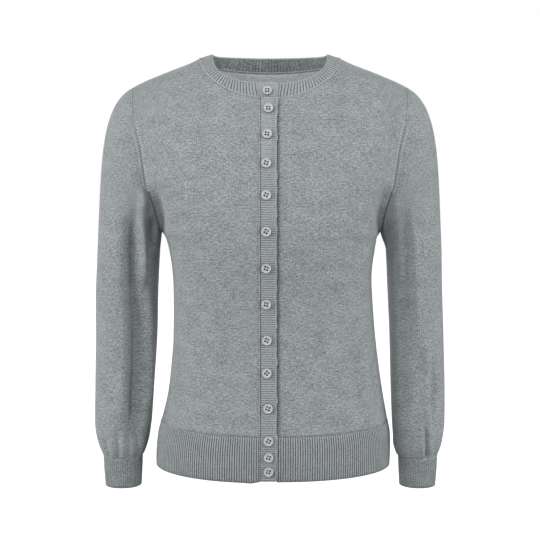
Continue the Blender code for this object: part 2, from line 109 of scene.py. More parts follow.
@dataclass(frozen=True)
class Table:
    """Rows of measures, each read on a smooth curve through them.

    Args:
        names: the columns' names; the first is where each row lies.
        rows: the measures.
    """

    names: tuple[str, ...]
    rows: tuple[tuple[float, ...], ...]

    def read(self, name: str, at: Any) -> Array:
        """A column's values at any places between the rows."""
        data = np.array(sorted(self.rows))
        x, y = data[:, 0], data[:, self.names.index(name)]
        steps = np.diff(x)
        rises = np.diff(y) / steps
        slopes = np.concatenate(([rises[0]], (y[2:] - y[:-2]) / (x[2:] - x[:-2]), [rises[-1]]))
        at = np.clip(at, x[0], x[-1])
        i = np.clip(np.searchsorted(x, at, side="right") - 1, 0, len(x) - 2)
        t = (at - x[i]) / steps[i]
        return (
            y[i] * (1 + 2 * t) * (1 - t) ** 2
            + slopes[i] * steps[i] * t * (1 - t) ** 2
            + y[i + 1] * t * t * (3 - 2 * t)
            - slopes[i + 1] * steps[i] * t * t * (1 - t)
        )

    def first(self, name: str) -> float:
        """A column's value in the first row as written."""
        return self.rows[0][self.names.index(name)]

    def last(self, name: str) -> float:
        """A column's value in the last row as written."""
        return self.rows[-1][self.names.index(name)]


BODY = Table(
    ("height", "half_width", "front", "back", "middle"),
    (
        (-0.575, 0.1580, 0.0980, 0.1000, 0.0040),
        (-0.544, 0.1597, 0.1030, 0.1050, 0.0042),
        (-0.511, 0.1581, 0.1040, 0.1050, 0.0055),
        (-0.494, 0.1545, 0.1030, 0.1030, 0.0061),
        (-0.461, 0.1474, 0.1000, 0.0980, 0.0072),
        (-0.427, 0.1424, 0.0975, 0.0920, 0.0068),
        (-0.378, 0.1373, 0.0955, 0.0830, 0.0058),
        (-0.328, 0.1349, 0.0980, 0.0795, 0.0041),
        (-0.295, 0.1347, 0.1040, 0.0815, 0.0030),
        (-0.263, 0.1385, 0.1100, 0.0860, 0.0027),
        (-0.246, 0.1425, 0.1120, 0.0885, 0.0020),
        (-0.237, 0.1485, 0.1130, 0.0900, 0.0016),
        (-0.209, 0.1593, 0.1130, 0.0940, 0.0006),
        (-0.177, 0.1770, 0.1090, 0.0970, 0.0000),
        (-0.126, 0.1970, 0.0970, 0.0960, 0.0000),
        (-0.086, 0.2120, 0.0835, 0.0870, 0.0000),
        (-0.043, 0.2200, 0.0680, 0.0710, 0.0000),
        (0.010, 0.2250, 0.0560, 0.0560, 0.0000),
    ),
)
SHOULDER = Table(
    ("reach", "height", "rounding"),
    (
        (0.0000, 0.0350, 0.110),
        (0.0600, 0.0100, 0.100),
        (0.0940, -0.0055, 0.092),
        (0.1090, -0.0127, 0.087),
        (0.1300, -0.0206, 0.080),
        (0.1500, -0.0286, 0.072),
        (0.1690, -0.0366, 0.065),
        (0.1835, -0.0439, 0.060),
        (0.2200, -0.0640, 0.060),
    ),
)
ARMHOLE = Table(
    ("height", "reach"),
    (
        (-0.2370, 0.1485),
        (-0.2090, 0.1530),
        (-0.1770, 0.1615),
        (-0.1260, 0.1695),
        (-0.0860, 0.1790),
        (-0.0439, 0.1835),
    ),
)
SLEEVE_COLUMNS = ("height", "reach", "half_width", "half_depth", "ahead")
SLEEVE_RIGHT = Table(
    SLEEVE_COLUMNS,
    (
        (-0.263, 0.1915, 0.0421, 0.0500, 0.0000),
        (-0.320, 0.1948, 0.0422, 0.0490, -0.0030),
        (-0.378, 0.1960, 0.0417, 0.0470, -0.0040),
        (-0.444, 0.1985, 0.0400, 0.0450, 0.0020),
        (-0.494, 0.2000, 0.0385, 0.0420, 0.0100),
        (-0.511, 0.2005, 0.0362, 0.0395, 0.0130),
        (-0.527, 0.2003, 0.0320, 0.0350, 0.0155),
        (-0.5405, 0.2000, 0.0266, 0.0295, 0.0170),
    ),
)
SLEEVE_LEFT = Table(
    SLEEVE_COLUMNS,
    (
        (-0.263, 0.1950, 0.0374, 0.0500, 0.0000),
        (-0.320, 0.1975, 0.0369, 0.0490, -0.0030),
        (-0.378, 0.2003, 0.0366, 0.0470, -0.0040),
        (-0.444, 0.2018, 0.0366, 0.0450, 0.0020),
        (-0.494, 0.2022, 0.0356, 0.0420, 0.0100),
        (-0.511, 0.2018, 0.0342, 0.0395, 0.0130),
        (-0.527, 0.2010, 0.0318, 0.0350, 0.0155),
        (-0.5405, 0.2004, 0.0270, 0.0295, 0.0170),
    ),
)
CUFF = Table(
    SLEEVE_COLUMNS,
    (
        (-0.54065, 0.2000, 0.0264, 0.0290, 0.0170),
        (-0.561, 0.1997, 0.0254, 0.0278, 0.0195),
        (-0.5800, 0.1992, 0.0241, 0.0264, 0.0220),
    ),
)
ARMPIT = ARMHOLE.first("height")
SHOULDER_TIP = ARMHOLE.last("height")
SLEEVE_TOP = SLEEVE_RIGHT.first("height")
CUFF_SEAM = SLEEVE_RIGHT.last("height")


# ---------------------------------------------------------------- the garment's form


@dataclass(frozen=True)
class BodyForm:
    """The body of the garment: sections across it, and the lines of its neck, shoulders and fronts."""

    power: float = 2.4
    neck_front_drop: float = 0.0575
    neck_back_drop: float = 0.0150
    neck_front_power: float = 1.8
    neck_back_power: float = 2.2
    placket_right_edge: float = -0.0127
    placket_left_edge: float = 0.0089
    overlap_lift: float = RIB_WALL + SEAM
    lift_run: float = 0.028
    rib_top: float = -0.4937
    hem: float = -0.5540
    front_droop_top: float = 0.0055
    right_droop_hem: float = 0.0058
    left_droop_hem: float = 0.0043
    back_droop: float = 0.0030
    placket_hem_rise: float = 0.0034
    neckline_share: float = 7 / 11
    waver: float = 0.0009
    swell: float = 0.0017
    swell_height: float = -0.0735
    swell_run: float = 0.0130
    corner_rise: float = 0.0026
    corner_run: float = 0.013

    @property
    def neck_reach(self) -> float:
        """How far from the middle the neckline starts on the shoulder."""
        return SHOULDER.rows[2][0]

    @property
    def neck_point(self) -> float:
        """The height at which the neckline starts on the shoulder."""
        return SHOULDER.rows[2][1]

    def shoulder_height(self, x: Any) -> Array:
        """Height of the shoulder line at a distance from the middle."""
        return SHOULDER.read("height", np.abs(x))

    def skin(self, x: Any, z: Any, way: Any) -> Array:
        """The form's Y at places seen from the front (way -1) or the back (way 1)."""
        share = np.minimum(1.0, np.abs(x - BODY.read("middle", z)) / BODY.read("half_width", z))
        depth = np.where(np.asarray(way) < 0, BODY.read("front", z), BODY.read("back", z))
        bulge = (1 - share**self.power) ** (1 / self.power)
        reach = SHOULDER.read("rounding", np.abs(x))
        below = np.clip((self.shoulder_height(x) - z) / reach, 0.0, 1.0)
        rounding = np.sqrt(1 - (1 - below) ** 2)
        return way * np.maximum(depth * bulge * rounding, SEAM / 2)

    def skin_normal(self, x: Any, z: Any, way: Any) -> Array:
        """The form's outward unit normals."""
        across = self.skin(x + SLOPE_STEP, z, way) - self.skin(x - SLOPE_STEP, z, way)
        up = self.skin(x, z + SLOPE_STEP, way) - self.skin(x, z - SLOPE_STEP, way)
        return unit(np.stack([-across * way, 2 * SLOPE_STEP * way + 0 * across, -up * way], axis=-1))

    def skin_point(self, x: Any, z: Any, way: Any, lift: Any = 0.0) -> Array:
        """Points on the form, moved out along its normal by lift."""
        x, z, way, lift = np.broadcast_arrays(x, z, way, lift)
        points = np.stack([x, self.skin(x, z, way), z], axis=-1)
        return points + self.skin_normal(x, z, way) * np.asarray(lift)[..., None]

    def neckline(self, turn: Any, way: Any) -> tuple[Array, Array]:
        """X and Z of the neckline seam: turn 0 is at the shoulder, a quarter turn mid-front or mid-back."""
        front = np.asarray(way) < 0
        bend = 2 / np.where(front, self.neck_front_power, self.neck_back_power)
        drop = np.where(front, self.neck_front_drop, self.neck_back_drop)
        x = self.neck_reach * power(np.cos(turn), bend)
        return x, self.neck_point - drop * power(np.sin(turn), bend)

    def neckline_turn(self, x: Any) -> Array:
        """The front neckline's turn at a distance from the middle."""
        return np.arccos((np.abs(x) / self.neck_reach) ** (self.neck_front_power / 2))

    def inner_x(self, side: int, way: int, gap: float = 0.0) -> float:
        """X of a panel's inner edge: mid-back, or beside the placket with a gap to it."""
        if way > 0:
            return 0.0
        return self.placket_right_edge - gap if side < 0 else self.placket_left_edge + gap

    def column_share(self, across: Any, inner: Any, outer: Any, half: Any) -> Array:
        """Even steps round the section, from inner edge to outer, as shares of the way in X."""
        edges = (power(np.minimum(1, np.abs(edge) / half), self.power / 2) for edge in (inner, outer))
        low, high = (np.arcsin(edge) for edge in edges)
        start, end, here = (np.sin(turn) ** (2 / self.power) for turn in (low, high, mix(low, high, across)))
        return (here - start) / (end - start)

    def lift(self, x: Any) -> Array:
        """How far the right front stands off the form, where it comes to lie on the left front."""
        return self.overlap_lift * (1 - ease((self.placket_right_edge - x) / self.lift_run))

    def lapped(self, side: int, way: int) -> bool:
        """Whether a panel is the right front, which laps over the left."""
        return side < 0 and way < 0

    def panel_point(self, x: Any, z: Any, side: int, way: int) -> Array:
        """Points of a panel: on the form, or off it where the right front laps over the left."""
        return self.skin_point(x, z, way, self.lift(x) if self.lapped(side, way) else 0.0)

    def droop(self, base: Any, by: Any, x: Any, half: Any) -> Array:
        """A level line that hangs lower in the middle."""
        return base - by * np.maximum(0.0, 1 - (x / half) ** 2)

    def lower_panel(self, side: int, way: int, inner: float) -> Surface:
        """Panel surface between the hem rib's seam and the armpit, across and up from 0 to 1."""

        def point(across: Array, up: Array) -> Array:
            rise = np.sin(up * math.pi / 2)
            base = mix(self.rib_top + SEAM / 2, ARMPIT, rise)
            half, middle = BODY.read("half_width", base), BODY.read("middle", base)
            x = mix(inner, middle + side * half, self.column_share(across, inner - middle, half, half))
            by = (self.front_droop_top if way < 0 else self.back_droop) * (1 - rise)
            z = self.droop(base, by, x - middle, half)
            return self.panel_point(x, z, side, way)

        return point

    def upper_panel(self, side: int, way: int, inner: float) -> Surface:
        """Panel surface between the armpit and the shoulder seam."""

        def point(across: Array, up: Array) -> Array:
            outer_z = mix(ARMPIT, SHOULDER_TIP, (1 - np.cos(math.pi * up)) / 2)
            half, middle = BODY.read("half_width", outer_z), BODY.read("middle", outer_z)
            outer = middle + side * ARMHOLE.read("reach", outer_z)
            inner_x, inner_z = self.inner_edge(up, side, way, inner)
            share = self.column_share(across, inner_x - middle, outer - middle, half)
            x = mix(inner_x, outer, share)
            level = mix(inner_z, outer_z, share)
            below = mix(self.shoulder_height(inner_x) - inner_z, self.shoulder_height(outer) - outer_z, share)
            z = mix(level, self.shoulder_height(x) - below, up)
            return self.panel_point(x, z, side, way)

        return point

    def inner_edge(self, up: Array, side: int, way: int, inner: float) -> tuple[Array, Array]:
        """X and Z of a panel's inner edge above the armpit: up the placket or mid-back, then the neckline."""
        corner_turn = float(self.neckline_turn(inner)) if way < 0 else math.pi / 2
        corner_z = float(self.neckline(corner_turn, way)[1])
        edge_share = 1 - self.neckline_share
        turn = mix(corner_turn, 0.0, np.maximum(0.0, up - edge_share) / self.neckline_share)
        x, z = self.neckline(turn, way)
        straight = up <= edge_share
        climb = mix(ARMPIT, corner_z, np.minimum(1.0, up / edge_share))
        return np.where(straight, inner, side * x), np.where(straight, climb, z)

    def hem_strip(self, side: int, way: int, inner: float) -> Surface:
        """Hem rib surface, from its lower edge up to its seam."""

        def point(across: Array, up: Array) -> Array:
            base = mix(self.hem, self.rib_top - SEAM / 2, up)
            half, middle = BODY.read("half_width", base), BODY.read("middle", base)
            x = mix(inner, middle + side * half, self.column_share(across, inner - middle, half, half))
            hem_droop = self.right_droop_hem if side < 0 else self.left_droop_hem
            by = mix(hem_droop, self.front_droop_top, up) if way < 0 else self.back_droop
            z = self.droop(base, by, x - middle, half)
            if self.lapped(side, way):
                z = z + self.corner_rise * ease(1 - np.abs(x - inner) / self.corner_run) * (1 - up) ** 2
            return self.panel_point(x, z, side, way)

        return point

    def placket(self, lift: float) -> Surface:
        """A placket strip: first share runs up it from the hem, the second across it."""

        def point(up: Array, across: Array) -> Array:
            x = mix(self.placket_right_edge + SEAM / 2, self.placket_left_edge - SEAM / 2, across)
            half = float(BODY.read("half_width", self.hem))
            bottom = self.droop(self.hem, self.right_droop_hem, x, half) + self.placket_hem_rise
            top = self.neckline(self.neckline_turn(x), -1)[1] - SEAM / 2
            z = mix(bottom, top, up)
            loose = ease((across - 0.6) / 0.4) if lift else 0.0
            sway = np.sin(z * 74 + 0.3) * np.sin(z * 187 + 1.1) + 0.6 * np.sin(z * 391 + 2.0)
            swell = self.swell * np.exp(-(((z - self.swell_height) / self.swell_run) ** 2))
            return self.skin_point(x + loose * (self.waver * sway + swell), z, -1, lift)

        return point

    def developed(self, points: Array, way: int, steps: int = 24) -> Array:
        """Cloth measures of points on the form: round from the middle, and up from the armpit."""
        x, z = points[..., 0], points[..., 2]
        shares = np.linspace(0.0, 1.0, steps + 1)
        around = self.path_length([(x * share, z) for share in shares], way) * np.sign(x)
        climb = [(x, mix(ARMPIT, z, 1 - (1 - share) ** 2)) for share in shares]
        return np.stack([around, self.path_length(climb, way) * np.sign(z - ARMPIT)], axis=-1)

    def path_length(self, places: Sequence[tuple[Array, Array]], way: int) -> Array:
        """Lengths of paths over the form, through places in X and Z."""
        chain = [np.stack([x, self.skin(x, z, way), z], axis=-1) for x, z in places]
        return sum(np.linalg.norm(end - start, axis=-1) for start, end in zip(chain, chain[1:]))


@dataclass(frozen=True)
class NeckForm:
    """The neckband's surface: it leaves the neckline and leans in to the open edge round the neck."""

    body: BodyForm
    edge_reach: float = 0.0770
    edge_front_drop: float = 0.0430
    edge_back_drop: float = 0.0020
    edge_front_depth: float = 0.0650
    edge_back_depth: float = 0.0480
    edge_power: float = 2.3
    depth_power: float = 3.2
    end_length: float = 0.012
    end_rise: float = 0.06
    end_round: float = 0.30

    def end_turn(self, x: float) -> float:
        """Turn round the neck, 0 mid-front and growing towards the wearer's right, near mid-front."""
        return -math.copysign(math.pi / 2 - float(self.body.neckline_turn(x)), x)

    def at(self, turn: Array, up: Array) -> Array:
        """Points on the band at a turn round the neck and a share of its height."""
        front = np.cos(turn) > 0
        way = np.where(front, -1, 1)
        fall_turn = np.arcsin(np.minimum(1.0, np.abs(np.cos(turn))))
        side = np.where(np.sin(turn) > 0, -1, 1)
        x, z = self.body.neckline(fall_turn, way)
        seam = self.body.skin_point(side * x, z, way)
        out, fall = np.cos(fall_turn), np.sin(fall_turn)
        drop = np.where(front, self.edge_front_drop, self.edge_back_drop)
        depth = np.where(front, self.edge_front_depth, self.edge_back_depth)
        edge = np.stack(
            [
                side * self.edge_reach * power(out, 2 / self.edge_power),
                way * depth * power(fall, 2 / self.depth_power),
                -drop * power(fall, 2 / self.edge_power),
            ],
            axis=-1,
        )
        lifted = self.body.skin_point(side * x, z, way, self.body.lift(side * x)) - seam
        lift = np.where((turn < math.pi / 2)[..., None], lifted, 0.0)
        way_up = edge - seam
        least = 2 * SEAM / np.linalg.norm(way_up, axis=-1)
        return seam + lift + way_up * mix(least, 1.0, up)[..., None]

    def strip(self) -> Surface:
        """The band from the top layer's end by the right shoulder to the under layer's end, in even steps."""
        start = self.end_turn(self.body.placket_left_edge)
        end = 2 * math.pi + self.end_turn(self.body.placket_right_edge)
        turns = np.linspace(start, end, 4001)
        line = self.at(turns, np.full_like(turns, 0.4))
        steps = np.linalg.norm(np.diff(line, axis=0), axis=-1)
        shares = np.concatenate(([0.0], np.cumsum(steps))) / steps.sum()

        def point(around: Array, up: Array) -> Array:
            near = ease((self.end_length - around) / self.end_length)
            raised = self.end_rise * ease((2.5 * self.end_length - around) / self.end_length)
            return self.at(np.interp(around, shares, turns), up * (1 + raised - self.end_round * near**2))

        return point


@dataclass(frozen=True)
class SleeveForm:
    """One sleeve: a head that leaves the armhole, and a tube down to the cuff.

    Args:
        body: the form that it leaves.
        side: -1 for the wearer's right, 1 for the left.
        table: the tube's sections.
        cuff_out: how much further out the cuff lies than its table says.
    """

    body: BodyForm
    side: int
    table: Table
    cuff_out: float
    power: float = 2.15
    pitch_top: float = math.radians(28)
    pitch_front: float = math.radians(52)
    pitch_under: float = math.radians(86)
    spring_top: float = 0.050
    spring_under: float = 0.008
    settle_top: float = 0.120
    settle_under: float = 0.008
    lean: float = 0.055

    def ring(self, table: Table, turn: Array, z: Any, reach_more: float = 0.0) -> Array:
        """Points on a section: turn 0 is outermost and a quarter turn is the front."""
        across, ahead = np.cos(turn), np.sin(turn)
        radius = (np.abs(across) ** self.power + np.abs(ahead) ** self.power) ** (-1 / self.power)
        reach = table.read("reach", z) + reach_more + table.read("half_width", z) * across * radius
        y = -table.read("ahead", z) - table.read("half_depth", z) * ahead * radius
        return np.stack([self.side * reach, y, z + 0 * y], axis=-1)

    def armhole(self, turn: Array) -> Array:
        """Points on the armhole seam: turn 0 is the shoulder and a half turn is the armpit."""
        z = mix(ARMPIT, SHOULDER_TIP, (1 + np.cos(turn)) / 2)
        x = BODY.read("middle", z) + self.side * ARMHOLE.read("reach", z)
        way = np.where(np.sin(turn) > 0, -1, 1)
        y = np.where(np.abs(np.sin(turn)) < WELD, 0.0, self.body.skin(x, z, way))
        return np.stack([x, y, z], axis=-1)

    def leaving(self, turn: Array) -> Array:
        """The way in which the sleeve head's surface leaves the armhole."""
        under = 1 - np.cos(turn)
        upper = mix(self.pitch_top, self.pitch_front, ease(under))
        lower = mix(self.pitch_front, self.pitch_under, ease(under - 1))
        pitch = np.where(under < 1, upper, lower)
        return unit(np.stack([self.side * np.cos(pitch), -0.25 * np.sin(turn), -np.sin(pitch)], axis=-1))

    def cap(self) -> Surface:
        """Surface from the armhole seam to the first section of the tube."""

        def point(round_it: Array, along: Array) -> Array:
            turn = 2 * math.pi * round_it
            under = ((1 - np.cos(turn)) / 2)[..., None]
            way = self.leaving(turn)
            start = self.armhole(turn) + way * 2 * SEAM
            end = self.ring(self.table, turn, SLEEVE_TOP)
            leaving = start + way * mix(self.spring_top, self.spring_under, under)
            settle = mix(self.settle_top, self.settle_under, under)
            arriving = end + settle * np.array([-self.side * self.lean, 0.0, 1.0])
            t = along[..., None]
            left = 1 - t
            return start * left**3 + 3 * leaving * left**2 * t + 3 * arriving * left * t**2 + end * t**3

        return point

    def tube(self) -> Surface:
        """Surface from the head down to the cuff seam."""

        def point(round_it: Array, along: Array) -> Array:
            z = mix(SLEEVE_TOP, CUFF_SEAM + SEAM / 2, along)
            return self.ring(self.table, 2 * math.pi * round_it, z)

        return point

    def whole(self, head_share: float, bend: float = 1.4) -> Surface:
        """Head and tube as one surface, with its rows crowded at the armhole."""
        cap, tube = self.cap(), self.tube()

        def point(round_it: Array, along: Array) -> Array:
            in_head = np.clip(along / head_share, 0.0, 1.0) ** bend
            in_tube = np.clip((along - head_share) / (1 - head_share), 0.0, 1.0)
            return np.where((along < head_share)[..., None], cap(round_it, in_head), tube(round_it, in_tube))

        return point

    def cuff_seam(self) -> tuple[Array, Array]:
        """Points round the cuff seam and their ways out."""
        turns = np.linspace(0, 2 * math.pi, 161)
        points = self.ring(CUFF, turns, CUFF.first("height"), self.cuff_out)
        middle = points[:-1].mean(axis=0)
        return points, unit(points - middle)

    def cuff(self) -> Surface:
        """The cuff's surface, from its seam down."""

        def point(round_it: Array, along: Array) -> Array:
            z = mix(CUFF.first("height"), CUFF.last("height"), along)
            return self.ring(CUFF, 2 * math.pi * round_it, z, self.cuff_out)

        return point

    def inside(self, points: Array) -> Array:
        """Points within the sleeve, from which its surface faces away."""
        reach, ahead = (self.table.read(name, points[..., 2]) for name in ("reach", "ahead"))
        return np.stack([self.side * reach, -ahead, np.minimum(points[..., 2], SLEEVE_TOP) - 0.02], axis=-1)


def inside_body(points: Array) -> Array:
    """Points within the body, from which its surface faces away."""
    return np.stack([0.6 * points[..., 0], 0 * points[..., 1], points[..., 2] - 0.05], axis=-1)


def inside_neck(points: Array) -> Array:
    """Points within the neck, from which the band faces away."""
    return np.stack([0.3 * points[..., 0], 0.3 * points[..., 1], points[..., 2] - 0.10], axis=-1)


# ---------------------------------------------------------------- cloth surfaces


@dataclass
class Grid:
    """A surface read on a grid, with the lengths of cloth along its rows and columns."""

    u: Array
    v: Array
    points: Array
    normals: Array

    def along(self, axis: int, from_end: bool = False) -> Array:
        """Lengths of cloth along the rows (axis 1) or the columns (axis 0), from the start or the end."""
        steps = np.linalg.norm(np.diff(self.points, axis=axis), axis=-1)
        total = np.cumsum(steps, axis=axis)
        lengths = np.insert(total, 0, 0.0, axis=axis)
        return np.take(lengths, [-1], axis=axis) - lengths if from_end else lengths


Relief = Callable[[Grid], Array]
Courses = Callable[[Grid], Array]


@dataclass(frozen=True)
class Crease:
    """A soft trough (depth below nothing) or ridge along a curve through three places.

    Args:
        path: start, middle and end, in the two measures that the folds' owner gives.
        height: how far the cloth stands out, or in if below nothing.
        width: half-width of the fold.
        ends: the shares of its length over which it rises and falls away.
    """

    path: tuple[tuple[float, float], tuple[float, float], tuple[float, float]]
    height: float
    width: float
    ends: tuple[float, float] = (0.35, 0.35)

    def lift(self, place: Array) -> Array:
        """How far the fold moves the cloth out at each place."""
        start, middle, end = (np.array(p) for p in self.path)
        control = 2 * middle - (start + end) / 2
        t = np.linspace(0.0, 1.0, 13)[:, None]
        line = start * (1 - t) ** 2 + 2 * control * t * (1 - t) + end * t**2
        steps = np.diff(line, axis=0)
        from_start = place[..., None, :] - line[:-1]
        reach = np.clip(np.sum(from_start * steps, axis=-1) / np.sum(steps**2, axis=-1), 0.0, 1.0)
        gaps = np.linalg.norm(from_start - reach[..., None] * steps, axis=-1)
        nearest = np.argmin(gaps, axis=-1)[..., None]
        share = (nearest + np.take_along_axis(reach, nearest, axis=-1))[..., 0] / len(steps)
        gap = np.take_along_axis(gaps, nearest, axis=-1)[..., 0]
        rise, fall = self.ends
        fade = ease(share / rise) * ease((1 - share) / fall)
        return self.height * fade * np.exp(-((gap / self.width) ** 2))


def folded(creases: Sequence[Crease], place: Array) -> Array:
    """The lift of several folds together."""
    return sum((crease.lift(place) for crease in creases), np.zeros(place.shape[:-1]))


def rib(phase: Array, height: float) -> Array:
    """Relief of a rib knit: rounded ridges, one to each whole phase, with narrow valleys between."""
    return height * (2 * np.abs(np.cos(math.pi * phase)) ** 0.8 - 1)


@dataclass(frozen=True)
class Patch:
    """A stretch of knitted surface.

    Args:
        surface: its points for shares across and up.
        columns: how many faces wide its grid is.
        rows: how many faces high.
        courses: the pattern's place in metres, across the ribs or wales and along them.
        relief: how far the cloth stands off the surface.
        inside: points that the surface faces away from.
    """

    surface: Surface
    columns: int
    rows: int
    courses: Courses
    relief: Relief
    inside: Callable[[Array], Array]
    span: tuple[float, float] = (0.0, 1.0)

    def grid(self) -> Grid:
        """The surface and its outward normals, read at the grid's corners."""
        u, v = np.meshgrid(np.linspace(*self.span, self.columns + 1), np.linspace(0, 1, self.rows + 1))
        points = self.surface(u, v)
        low_u, high_u = (np.clip(u + step, *self.span) for step in (-NORMAL_STEP, NORMAL_STEP))
        low_v, high_v = (np.clip(v + step, 0.0, 1.0) for step in (-NORMAL_STEP, NORMAL_STEP))
        across = self.surface(high_u, v) - self.surface(low_u, v)
        up = self.surface(u, high_v) - self.surface(u, low_v)
        normals = unit(np.cross(across, up))
        facing = np.sign(np.sum(normals * (points - self.inside(points))))
        return Grid(u, v, points, normals * facing)

    def add_to(self, mesh: bmesh.types.BMesh) -> None:
        """Adds the patch's faces to a mesh, with the pattern's place in its UV map."""
        grid = self.grid()
        points = grid.points + grid.normals * self.relief(grid)[..., None]
        courses = self.courses(grid)
        old_verts, old_faces = len(mesh.verts), len(mesh.faces)
        made = bmesh.ops.create_grid(mesh, x_segments=self.columns, y_segments=self.rows, size=0.5)["verts"]
        mesh.verts.index_update()
        mesh.faces.ensure_lookup_table()
        placed = [(0.0, 0.0)] * len(made)
        for vert in made:
            i, j = round((vert.co.x + 0.5) * self.columns), round((vert.co.y + 0.5) * self.rows)
            vert.co = points[j, i]
            placed[vert.index - old_verts] = courses[j, i]
        layer = mesh.loops.layers.uv.verify()
        for face in mesh.faces[old_faces:]:
            for loop in face.loops:
                loop[layer].uv = placed[loop.vert.index - old_verts]


@dataclass(frozen=True)
class ClothPiece:
    """One knitted piece: its patches joined and given a wall.

    Args:
        node: the CAD node that it stands for.
        patches: the stretches of surface that meet edge to edge.
        wall: thickness of the cloth.
        slot: a material slot's name, handed to fit, which does not use it.
        flat: width and length of the cut, in metres; not used.
        area: the cut's flat area, where it isn't a rectangle; not used.
        held: how the sheet is held; not used.
    """

    node: str
    patches: tuple[Patch, ...]
    wall: float
    slot: str
    flat: tuple[float, float]
    area: float | None = None
    held: str = "hung"

    def build(self, material: Material, inner: Material | None = None) -> bpy.types.Object:
        """Makes the piece, dresses it and fits it to the frame."""
        mesh = bmesh.new()
        mesh.loops.layers.uv.new(COURSES)
        for patch in self.patches:
            patch.add_to(mesh)
        bmesh.ops.remove_doubles(mesh, verts=mesh.verts[:], dist=PATCH_WELD)
        bmesh.ops.recalc_face_normals(mesh, faces=mesh.faces[:])
        inside = self.patches[0].inside
        sample = mesh.faces[:][:: max(1, len(mesh.faces) // 400)]
        middles = np.array([face.calc_center_median() for face in sample])
        normals = np.array([face.normal for face in sample])
        if np.sum(normals * (middles - inside(middles))) < 0:
            bmesh.ops.reverse_faces(mesh, faces=mesh.faces[:])
        piece = placed_object(f"{self.node}_knit", mesh, material)
        wall = piece.modifiers.new("wall", "SOLIDIFY")
        wall.thickness = self.wall
        wall.offset = -1.0
        # The inner side takes its own copy of the knit: a lighter one, painted light, for the jersey, and a
        # darker one, painted shade, for the rib.
        if inner:
            piece.data.materials.append(inner)
            wall.material_offset = 1
        fit(piece, self.slot, self.node)
        log.info("%s: %d faces", piece.name, len(piece.data.polygons))
        return piece


def placed_object(name: str, mesh: bmesh.types.BMesh, material: Material) -> bpy.types.Object:
    """An object at the origin that holds a finished mesh."""
    data = bpy.data.meshes.new(name)
    mesh.to_mesh(data)
    mesh.free()
    data.shade_smooth()
    data.materials.append(material)
    piece = bpy.data.objects.new(name, data)
    bpy.context.scene.collection.objects.link(piece)
    return piece


def fit(piece: bpy.types.Object, slot: str, *nodes: str) -> None:
    """Makes a piece ride on the garment's body and hides the CAD nodes that it stands for."""
    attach(piece, ROOT)
    if nodes:
        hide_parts(*nodes)


# ---------------------------------------------------------------- finishes


def linear(code: str, alpha: float = 1.0) -> tuple[float, float, float, float]:
    """An sRGB hex colour as linear light."""
    values = [int(code[i : i + 2], 16) / 255 for i in (1, 3, 5)]
    red, green, blue = (c / 12.92 if c <= 0.04045 else ((c + 0.055) / 1.055) ** 2.4 for c in values)
    return red, green, blue, alpha


def add_node(tree: Any, kind: str, settings: dict[str, Any] | None = None, **inputs: Any) -> Any:
    """Adds a shader node with its settings and inputs.

    Args:
        tree: the material's or world's node tree.
        kind: the node's type.
        settings: its own properties.
        inputs: its sockets by name, spaces as underscores or by number as i0; a socket links, a value is set.

    Returns:
        The node.
    """
    node = tree.nodes.new(kind)
    for key, value in (settings or {}).items():
        setattr(node, key, value)
    for key, value in inputs.items():
        numbered = key[0] == "i" and key[1:].isdigit()
        socket = node.inputs[int(key[1:]) if numbered else key.replace("_", " ")]
        if isinstance(value, bpy.types.NodeSocket):
            tree.links.new(value, socket)
        else:
            socket.default_value = value
    return node


def ramp(node: Any, stops: Sequence[tuple[float, str]]) -> Any:
    """Sets a colour ramp's stops and gives its colour socket."""
    elements = node.color_ramp.elements
    while len(elements) > len(stops):
        elements.remove(elements[-1])
    while len(elements) < len(stops):
        elements.new(1.0)
    for element, (place, code) in zip(elements, stops):
        element.position, element.color = place, linear(code)
    return node.outputs["Color"]


def new_material(name: str, **sockets: Any) -> tuple[Material, Any, Any]:
    """A new material with plain values set on its shader.

    Args:
        name: the material's name.
        sockets: the shader's sockets by name, spaces as underscores, and their values.

    Returns:
        The material, its node tree and its shader.
    """
    material = bpy.data.materials.new(name)
    material.use_nodes = True
    shader = material.node_tree.nodes["Principled BSDF"]
    for key, value in sockets.items():
        shader.inputs[key.replace("_", " ")].default_value = value
    return material, material.node_tree, shader


def mottled(tree: Any, scale: float, roughness: float, dark: str, light: str) -> tuple[Any, Any]:
    """A colour between two tones by fine noise on the piece, and the noise itself."""
    place = add_node(tree, "ShaderNodeTexCoord").outputs["Object"]
    noise = add_node(tree, "ShaderNodeTexNoise", Vector=place, Scale=scale, Detail=2.0, Roughness=roughness)
    share = noise.outputs["Fac"]
    return ramp(add_node(tree, "ShaderNodeValToRGB", Fac=share), ((0.35, dark), (0.65, light))), share


def dress(tree: Any, shader: Any, colour: Any, height: Any, strength: float, distance: float) -> None:
    """Gives a shader its colour and a bump from a height."""
    bump = add_node(tree, "ShaderNodeBump", Strength=strength, Distance=distance, Height=height)
    tree.links.new(colour, shader.inputs["Base Color"])
    tree.links.new(bump.outputs["Normal"], shader.inputs["Normal"])


class Stitch(Enum):
    """How a piece is knitted."""

    JERSEY = "jersey"
    RIB = "rib"


